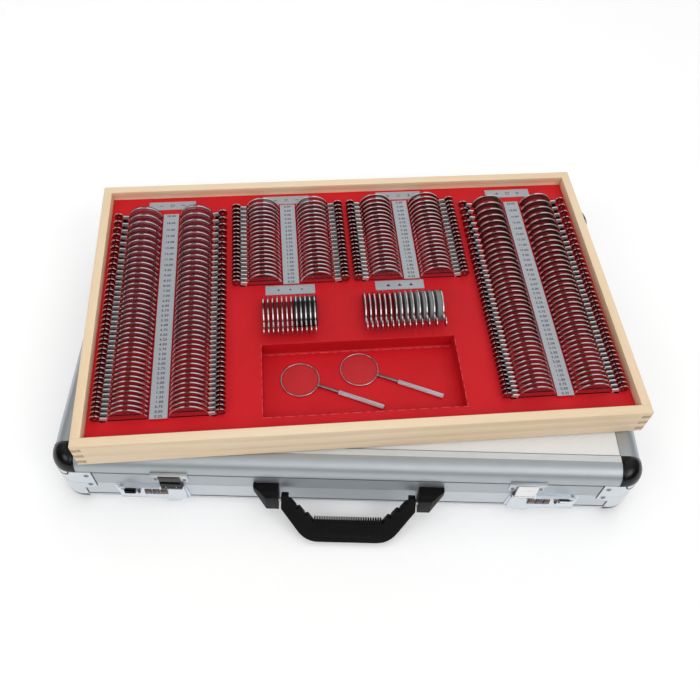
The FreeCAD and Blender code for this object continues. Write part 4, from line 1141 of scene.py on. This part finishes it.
def make_insert():
    """The lined insert: top sheet, ribs with slots, channels, well and skirt; then its ridges."""
    shape = Shape()
    gap = 0.2
    across = TRAY_HALF_W - TRAY_WALL - gap
    along = TRAY_HALF_D - TRAY_WALL - gap
    add_sheet(shape, across, along, openings_in_insert())
    for middle, hand, rows in lens_columns():
        slots = [(row + SLOT_GAP, row + RIM - SLOT_GAP) for row in rows]
        place = TRAY @ shift(middle + hand * COLUMN, 0, 0)
        add_slots(shape, rows[-1] - ROW_FRONT, rows[0] + ROW_REAR, slots, place)
    for places in (ACCESSORY_X, prism_places()):
        slots = [(x - RIM + SLOT_GAP, x - SLOT_GAP) for x in places]
        place = TRAY @ shift(0, LOOSE_ROW, 0) @ turn(-90, "Z") @ stretch(-1)
        add_slots(shape, places[0] - ROW_REAR, places[-1] + ROW_REAR, slots, place)
    for channel in neck_channels():
        bed = INSERT_TOP - CHANNEL_DEPTH
        shape.stack(rectangle(*channel), (INSERT_TOP, bed), 2, TRAY, capped=False)
        shape.add([(*corner, bed) for corner in rectangle(*channel)], [range(4)], 2, TRAY)
    add_well(shape)
    shape.stack(rectangle(-across, across, -along, along), (INSERT_TOP, 4.0), 0, TRAY, capped=False)
    stand_in("tray_insert", "lined", shape, "red_satin slot_shade channel_shade", "tray")
    ridges = Shape()
    for middle, _, rows, _ in BANKS.values():
        low = (middle - RIDGE_HALF, rows[-1] - 1.5, INSERT_TOP - 1)
        ridges.box(low, (middle + RIDGE_HALF, rows[0] + 4.0, RIDGE_TOP), 0, TRAY)
    piece("tray_ridges", ridges, "red_satin", "tray", bevel=0.4)


def make_numbers():
    """Each row's power in dioptres, printed on the strips."""
    shape = Shape()
    for middle, _, rows, powers in BANKS.values():
        for row, power in zip(rows, powers):
            write(shape, f"{power:.2f}", 2.9, TRAY @ shift(middle, row + RIM / 2, STRIP_TOP + 0.04))
    piece("strip_numbers", shape, "number_ink", "tray")
    dress("number_strips", "label_plate")


HEADERS = {
    ("minus", "sphere", "minus"): (-190.6, 140),
    ("minus", "cylinder", "minus"): (-64, 142.5),
    ("plus", "cylinder", "plus"): (64, 143.5),
    ("plus", "sphere", "plus"): (190.6, 140.8),
    ("dot", "dot", "dot"): (-64.7, 12.2),
    ("wedge", "wedge", "wedge"): (49.5, 12.3),
}
INK = 0.03
BAR = rectangle(-2.0, 2.0, -0.33, 0.33)
SIGNS = {
    "minus": [BAR],
    "plus": [BAR, rectangle(-0.33, 0.33, -2.0, 2.0)],
    "cylinder": [[(x, y + step) for x, y in BAR] for step in (-1.1, 1.1)],
    "wedge": [[(-2.2, -1.6), (2.2, -1.6), (0, 2.0)]],
}


def add_sign(shape, kind, place):
    """A plain sign: a bar for minus, a cross for plus, a ring, two lines, a dot or a wedge."""
    for outline in SIGNS.get(kind, []):
        shape.stack(outline, (0, INK), 0, place)
    if kind == "sphere":
        shape.hoop([(1.5, 0), (2.1, 0), (2.1, INK), (1.5, INK)], 28, 0, place)
    if kind == "dot":
        shape.turned([(1.0, 0), (1.0, INK)], 20, 0, place)


def make_headers():
    shape = Shape()
    for signs, (x, y) in HEADERS.items():
        for sign, step in zip(signs, (-12.0, 0.0, 12.0)):
            add_sign(shape, sign, TRAY @ shift(x + step, y, INSERT_TOP + 0.62))
    piece("header_signs", shape, "number_ink", "tray")
    dress("header_plates", "label_plate")


# trial lenses

STAND = turn(90, "X")
LENS_LOOKS = "lens_metal tab_metal clear_glass ground_glass opaque_disc neck_metal cut_glass thick_glass"
THIN_GLASS, GROUND_EDGE, OPAQUE, NECK, SHADED_GLASS, DARK = range(2, 8)
RIM_POINTS = 56
GLASS_POINTS = 36
TAB_POINTS = 24
BANK_TAB_TURN = 12.0
LOOSE_TAB_TURN = 22.0
CURVE_OF_ONE_DIOPTRE = 1046
HALF_RIM = ((-1.1, -0.5), (-0.8, -0.65), (-0.2, -0.65), (0.0, -0.5))
RIM_SECTION = [(LENS_RADIUS + inset, height) for inset, height in HALF_RIM]
RIM_SECTION += [(radius, -height) for radius, height in reversed(RIM_SECTION)]


def ring_width(power, convex):
    """The width of the outer zone of a thick lens that is painted darker than clear glass, near black on a
    convex lens and with painted shade on a concave one; 0 for a thin one.
    """
    if convex:
        return 5.2 * (power / 20) ** 0.7 if power >= 3 else 0
    return 7.0 * (power / 20) ** 0.5 if power >= 4 else 0


def glass_profile(power, convex):
    """Half the section of a lens's glass as (radius, height), from one pole to the other."""
    edge = GLASS_RADIUS
    inner = edge - ring_width(power, convex)
    steps = (0.4, 6.0, inner, (inner + edge) / 2, edge) if inner < edge else (0.4, edge)
    curve = CURVE_OF_ONE_DIOPTRE / max(power, 0.2)

    def sag(radius):
        return curve - sqrt(curve**2 - radius**2)

    def half(radius):
        return 0.5 + (sag(edge) - sag(radius) if convex else sag(radius))

    upper = [(radius, half(radius)) for radius in steps]
    return [(radius, -height) for radius, height in upper] + list(reversed(upper))


def add_frame(shape, place, angle):
    """A lens's rim, and its handling tab: a flat neck with a thin disc that has a small hole."""
    shape.hoop(RIM_SECTION, RIM_POINTS, 0, place)
    along = place @ turn(180 - angle, "Z")
    neck = [(18.4, -2.4), (25.0, -1.8), (25.0, 1.8), (18.4, 2.4)]
    shape.stack(neck, (-0.7, 0.7), NECK, along)
    disc = along @ shift(29.0, 0, 0)
    # The disc's face takes the tab colour, painted dark red as a reflection of the lining; its edge takes
    # the rim metal.
    shape.hoop([(0.75, -0.5), (4.95, -0.5), (4.95, 0.5), (0.75, 0.5)], TAB_POINTS, 1, disc)
    shape.hoop([(4.9, -0.5), (5.2, -0.38), (5.2, 0.38), (4.9, 0.5)], TAB_POINTS, 0, disc)


def add_lens(shape, place, power, convex):
    """One lens in its place's XY plane, whose tab points a little aside of -X."""
    add_frame(shape, place, BANK_TAB_TURN)
    profile = glass_profile(power, convex)
    width = ring_width(power, convex)
    first = len(shape.faces)
    shape.turned(profile, GLASS_POINTS, THIN_GLASS, place)
    # The outer zone of a strong lens takes glass painted near black if convex and glass with painted shade
    # if concave.
    for span, (near, far) in enumerate(zip(profile, profile[1:])):
        if width and min(near[0], far[0]) > GLASS_RADIUS - width - 0.01:
            start = first + span * GLASS_POINTS
            shape.slots[start : start + GLASS_POINTS] = [DARK if convex else SHADED_GLASS] * GLASS_POINTS


def make_banks():
    """Both columns of each bank; its front outer lens is a piece of its own that lifts out."""
    for name, (middle, side, rows, powers) in BANKS.items():
        single, bank = Shape(), Shape()
        for hand in (1, -1):
            for row, power in zip(rows, powers):
                shape = single if hand == -side and row == rows[-1] else bank
                place = TRAY @ shift(middle - hand * COLUMN, row + RIM / 2, LENS_HEIGHT)
                add_lens(shape, place @ stretch(hand) @ STAND, power, side > 0)
        stand_in(f"{name}_lens", "detailed", single, LENS_LOOKS, f"{name}_lens")
        stand_in(f"{name}_lenses", "detailed", bank, LENS_LOOKS, "tray")


def accessory_glass(index):
    """The section and slot of an accessory's disc: thick and opaque from the eighth on, the thickness
    closing the gaps between the black discs as painted shade; the first seven take the glass with painted
    shade.
    """
    half = 2.1 if index >= FIRST_OPAQUE else 0.5
    section = [(0.4, -half), (GLASS_RADIUS, -half), (GLASS_RADIUS, half), (0.4, half)]
    return section, OPAQUE if index >= FIRST_OPAQUE else SHADED_GLASS


def prism_glass(index):
    """The section and slot of a prism: its ground edge stands out further when it is stronger; a weak one
    takes the glass with painted shade.
    """
    depth = 4.6 * (PRISM_POWERS[index] / 10) ** 2
    far = RIM / 2 + depth
    edge = GLASS_RADIUS
    section = [(edge - 0.7, -far), (edge, -far + 0.2), (edge, 0.4), (edge - 0.7, 0.6)]
    return section, GROUND_EDGE if depth > 0.6 else SHADED_GLASS


def make_loose_lenses():
    """The accessories and prisms; the outermost of each is a piece of its own that lifts out."""
    last = len(PRISM_POWERS) - 1
    accessories = ("accessory", ACCESSORY_X, accessory_glass, 0, "accessory_metal")
    prisms = ("prism", prism_places(), prism_glass, last, "lens_metal")
    for name, places, glass, alone, slot in (accessories, prisms):
        single, group = Shape(), Shape()
        for index, x in enumerate(places):
            shape = single if index == alone else group
            place = TRAY @ shift(x - RIM / 2, LOOSE_ROW, LENS_HEIGHT) @ turn(90, "Z") @ STAND
            add_frame(shape, place, LOOSE_TAB_TURN)
            section, look = glass(index)
            shape.turned(section, GLASS_POINTS, look, place)
        stand_in(f"{name}_lens", "detailed", single, LENS_LOOKS, f"{name}_lens")
        stand_in(f"{name}_lenses", "detailed", group, LENS_LOOKS, "tray")


CROSS_CYLINDERS = {"left": (-59.7, -88.0), "right": (-0.8, -79.7)}
CROSS_TURN = -25.0
CROSS_GLASS = ((0.4, 0.85), (12.0, 0.75), (17.7, 0.6), (17.7, 1.8), (12.0, 1.65), (0.4, 1.55))
CROSS_GRIP = ((1.9, 0.1, 0.0), (2.2, 0.25, 0.5), (2.2, 0.25, 45.5), (1.9, 0.1, 46.0))


def make_cross_cylinders():
    """Each cross cylinder in the well: a ring with its stem, its glass and a knurled grip."""
    for hand, (x, y) in CROSS_CYLINDERS.items():
        body = f"cross_cylinder_{hand}"
        place = TRAY @ shift(x, y, WELL_FLOOR) @ turn(CROSS_TURN, "Z")
        ring, glass, grip = Shape(), Shape(), Shape()
        ring.hoop(arc(18.6, 1.2, 0.62, 0, 360, 12)[:-1], 64, 0, place)
        bar = place @ shift(19.2, 0, 2.0) @ turn(90, "Y")
        ring.turned([(1.2, 0), (1.4, 0.4), (1.4, 21.0), (1.2, 21.3)], 16, 1, bar)
        ring.turned([(1.9, -0.6), (1.9, 1.6), (1.5, 2.0)], 16, 1, bar)
        glass.turned(CROSS_GLASS, 48, 0, place)
        axis = place @ shift(40.5, 0, 2.0) @ turn(90, "Y")
        grip.sweep([toothed(14, *ring_form) for ring_form in CROSS_GRIP], 0, axis)
        stand_in(f"{body}_ring", "turned", ring, "ring_metal stem_metal", body)
        stand_in(f"{body}_glass", "ground", glass, "pale_glass", body)
        stand_in(f"{body}_grip", "knurled", grip, "grip_metal", body, SHARP_TEETH)


# stage, light and camera

FLOOR_HALF = 30.0
FLOOR_GLOW = 0.2
LAMP_STRENGTH = 1.3
SPOT_STRENGTH = 2.8
STUDIO_STRENGTH = 0.88


def make_floor():
    mesh = bpy.data.meshes.new("floor")
    half = FLOOR_HALF
    mesh.from_pydata([(*corner, 0) for corner in rectangle(-half, half, -half, half)], [], [range(4)])
    floor = bpy.data.objects.new("floor", mesh)
    scene.collection.objects.link(floor)
    made = Finish("floor_paper", (0.86, 0.86, 0.86), 0.9)
    made.vary("Base Color", made.noise(400.0), (0.3, 0.84), (0.7, 0.88))
    path = made.add("LightPath").outputs
    seen = made.math("ADD", path["Is Camera Ray"], path["Is Glossy Ray"])
    seen = made.math("ADD", seen, path["Is Transmission Ray"])
    made.link(made.product(seen, FLOOR_GLOW), "Emission Strength")
    made.set("Emission Color", (1, 1, 1, 1))
    mesh.materials.append(FINISHES["floor_paper"])


class Sky(Nodes):
    """Values that depend on the direction in which the studio is seen."""

    def __init__(self, tree):
        super().__init__(tree)
        view = self.add("TexCoord").outputs["Generated"]
        self.parts = self.add("SeparateXYZ", {"Vector": view}).outputs

    def span(self, axis, *stops):
        """A value that runs through the stops, whose places go from -1 to 1 along an axis."""
        moved = self.math("MULTIPLY_ADD", self.parts[axis], 0.5, 0.5)
        return self.ramp(moved, [((place + 1) / 2, value) for place, value in stops])

    def without(self, value):
        return self.math("SUBTRACT", 1.0, value)


def make_world():
    """A studio: a light rear wall with a dark gap, and a dim front wall with a lamp and two spots."""
    world = bpy.data.worlds.new("studio")
    scene.world = world
    world.use_nodes = True
    sky = Sky(world.node_tree)
    front = sky.span("Z", (-1, 0.4), (-0.05, 0.34), (0.1, 0.2), (0.32, 0.24), (0.5, 0.4), (1, 0.5))
    rear = sky.span("Z", (-1, 0.4), (-0.05, 0.5), (0.05, 0.75), (0.65, 0.95), (1, 0.7))
    side = sky.span("Y", (-0.15, 0.0), (0.15, 1.0))
    wall = sky.math("MULTIPLY_ADD", rear, side, sky.product(front, sky.without(side)))
    gap = sky.product(
        sky.span("X", (-0.45, 0.0), (-0.37, 1.0), (-0.03, 1.0), (0.05, 0.0)),
        sky.span("Z", (0.58, 0.0), (0.7, 1.0)),
        sky.span("Y", (0.02, 0.0), (0.15, 0.95)),
    )
    ends = sky.span("X", (-0.85, 0.3), (-0.55, 1.0), (0.55, 1.0), (0.85, 0.3))
    wall = sky.product(wall, ends, sky.without(gap))
    lamp = sky.product(
        sky.span("Z", (0.38, 0.0), (0.5, 1.0), (0.8, 1.0), (0.88, 0.3)),
        sky.span("Y", (-0.2, 1.0), (-0.05, 0.0)),
        sky.span("X", (-0.34, 0.05), (-0.1, 1.0), (0.7, 1.0), (0.9, 0.2)),
    )
    near = [(0.4, 0.0), (0.48, 1.0), (0.66, 1.0), (0.74, 0.0)]
    far = [(-place, value) for place, value in reversed(near)]
    spots = sky.product(
        sky.span("Z", (0.46, 0.0), (0.54, 1.0), (0.72, 1.0), (0.8, 0.0)),
        sky.span("Y", (-0.3, 1.0), (-0.2, 0.0)),
        sky.span("X", *far, *near),
    )
    total = sky.math("MULTIPLY_ADD", lamp, LAMP_STRENGTH, wall)
    total = sky.math("MULTIPLY_ADD", spots, SPOT_STRENGTH, total)
    shown = world.node_tree.nodes["Background"].inputs
    sky.tree.links.new(sky.product(total, STUDIO_STRENGTH), shown["Strength"])
    shown["Color"].default_value = (1, 1, 1, 1)


LAMPS = {
    "ceiling": ((0.0, 0.1, 1.7), (0, 0, 0), 1.4, 7.8),
    "left_window": ((-1.6, -0.9, 1.3), (0, 0, 0.05), 0.9, 2.6),
}


def make_lamps():
    for name, (place, target, size, power) in LAMPS.items():
        lamp = bpy.data.lights.new(name, "AREA")
        lamp.shape = "SQUARE"
        lamp.size = size
        lamp.energy = power
        made = bpy.data.objects.new(name, lamp)
        scene.collection.objects.link(made)
        made.location = place
        made.rotation_euler = (Vector(target) - Vector(place)).to_track_quat("-Z", "Y").to_euler()
        made.visible_glossy = False


CAMERA_PLACE = (-18.0, -481.8, 712.7)
CAMERA_TURN = turn(TRAY_TURN, "Z") @ turn(-4.916, "Z") @ turn(-1.97, "Y") @ turn(34.586, "X")
FOCAL_PIXELS = 752.0
FRAME_PIXELS = 700.0


def make_camera():
    data = bpy.data.cameras.new("camera")
    data.sensor_width = 36.0
    data.lens = FOCAL_PIXELS / FRAME_PIXELS * data.sensor_width
    data.clip_start = 0.01
    camera = bpy.data.objects.new("camera", data)
    scene.collection.objects.link(camera)
    camera.matrix_world = shift(*[part * MM for part in CAMERA_PLACE]) @ CAMERA_TURN
    scene.camera = camera


def main():
    make_camera()
    make_floor()
    make_world()
    make_lamps()
    make_finishes()
    make_front_and_rear_rails()
    make_side_rails()
    for shell in SHELLS:
        dress(f"{shell}_panel", "aluminium_panel")
        dress(f"{shell}_lining", "lining")
    make_corner_caps()
    make_corner_plates()
    make_hinges()
    make_latches()
    make_handle()
    make_tray_boards()
    make_insert()
    make_stitches()
    make_numbers()
    make_headers()
    make_banks()
    make_loose_lenses()
    make_cross_cylinders()
    scene.view_settings.view_transform = "Standard"


main()
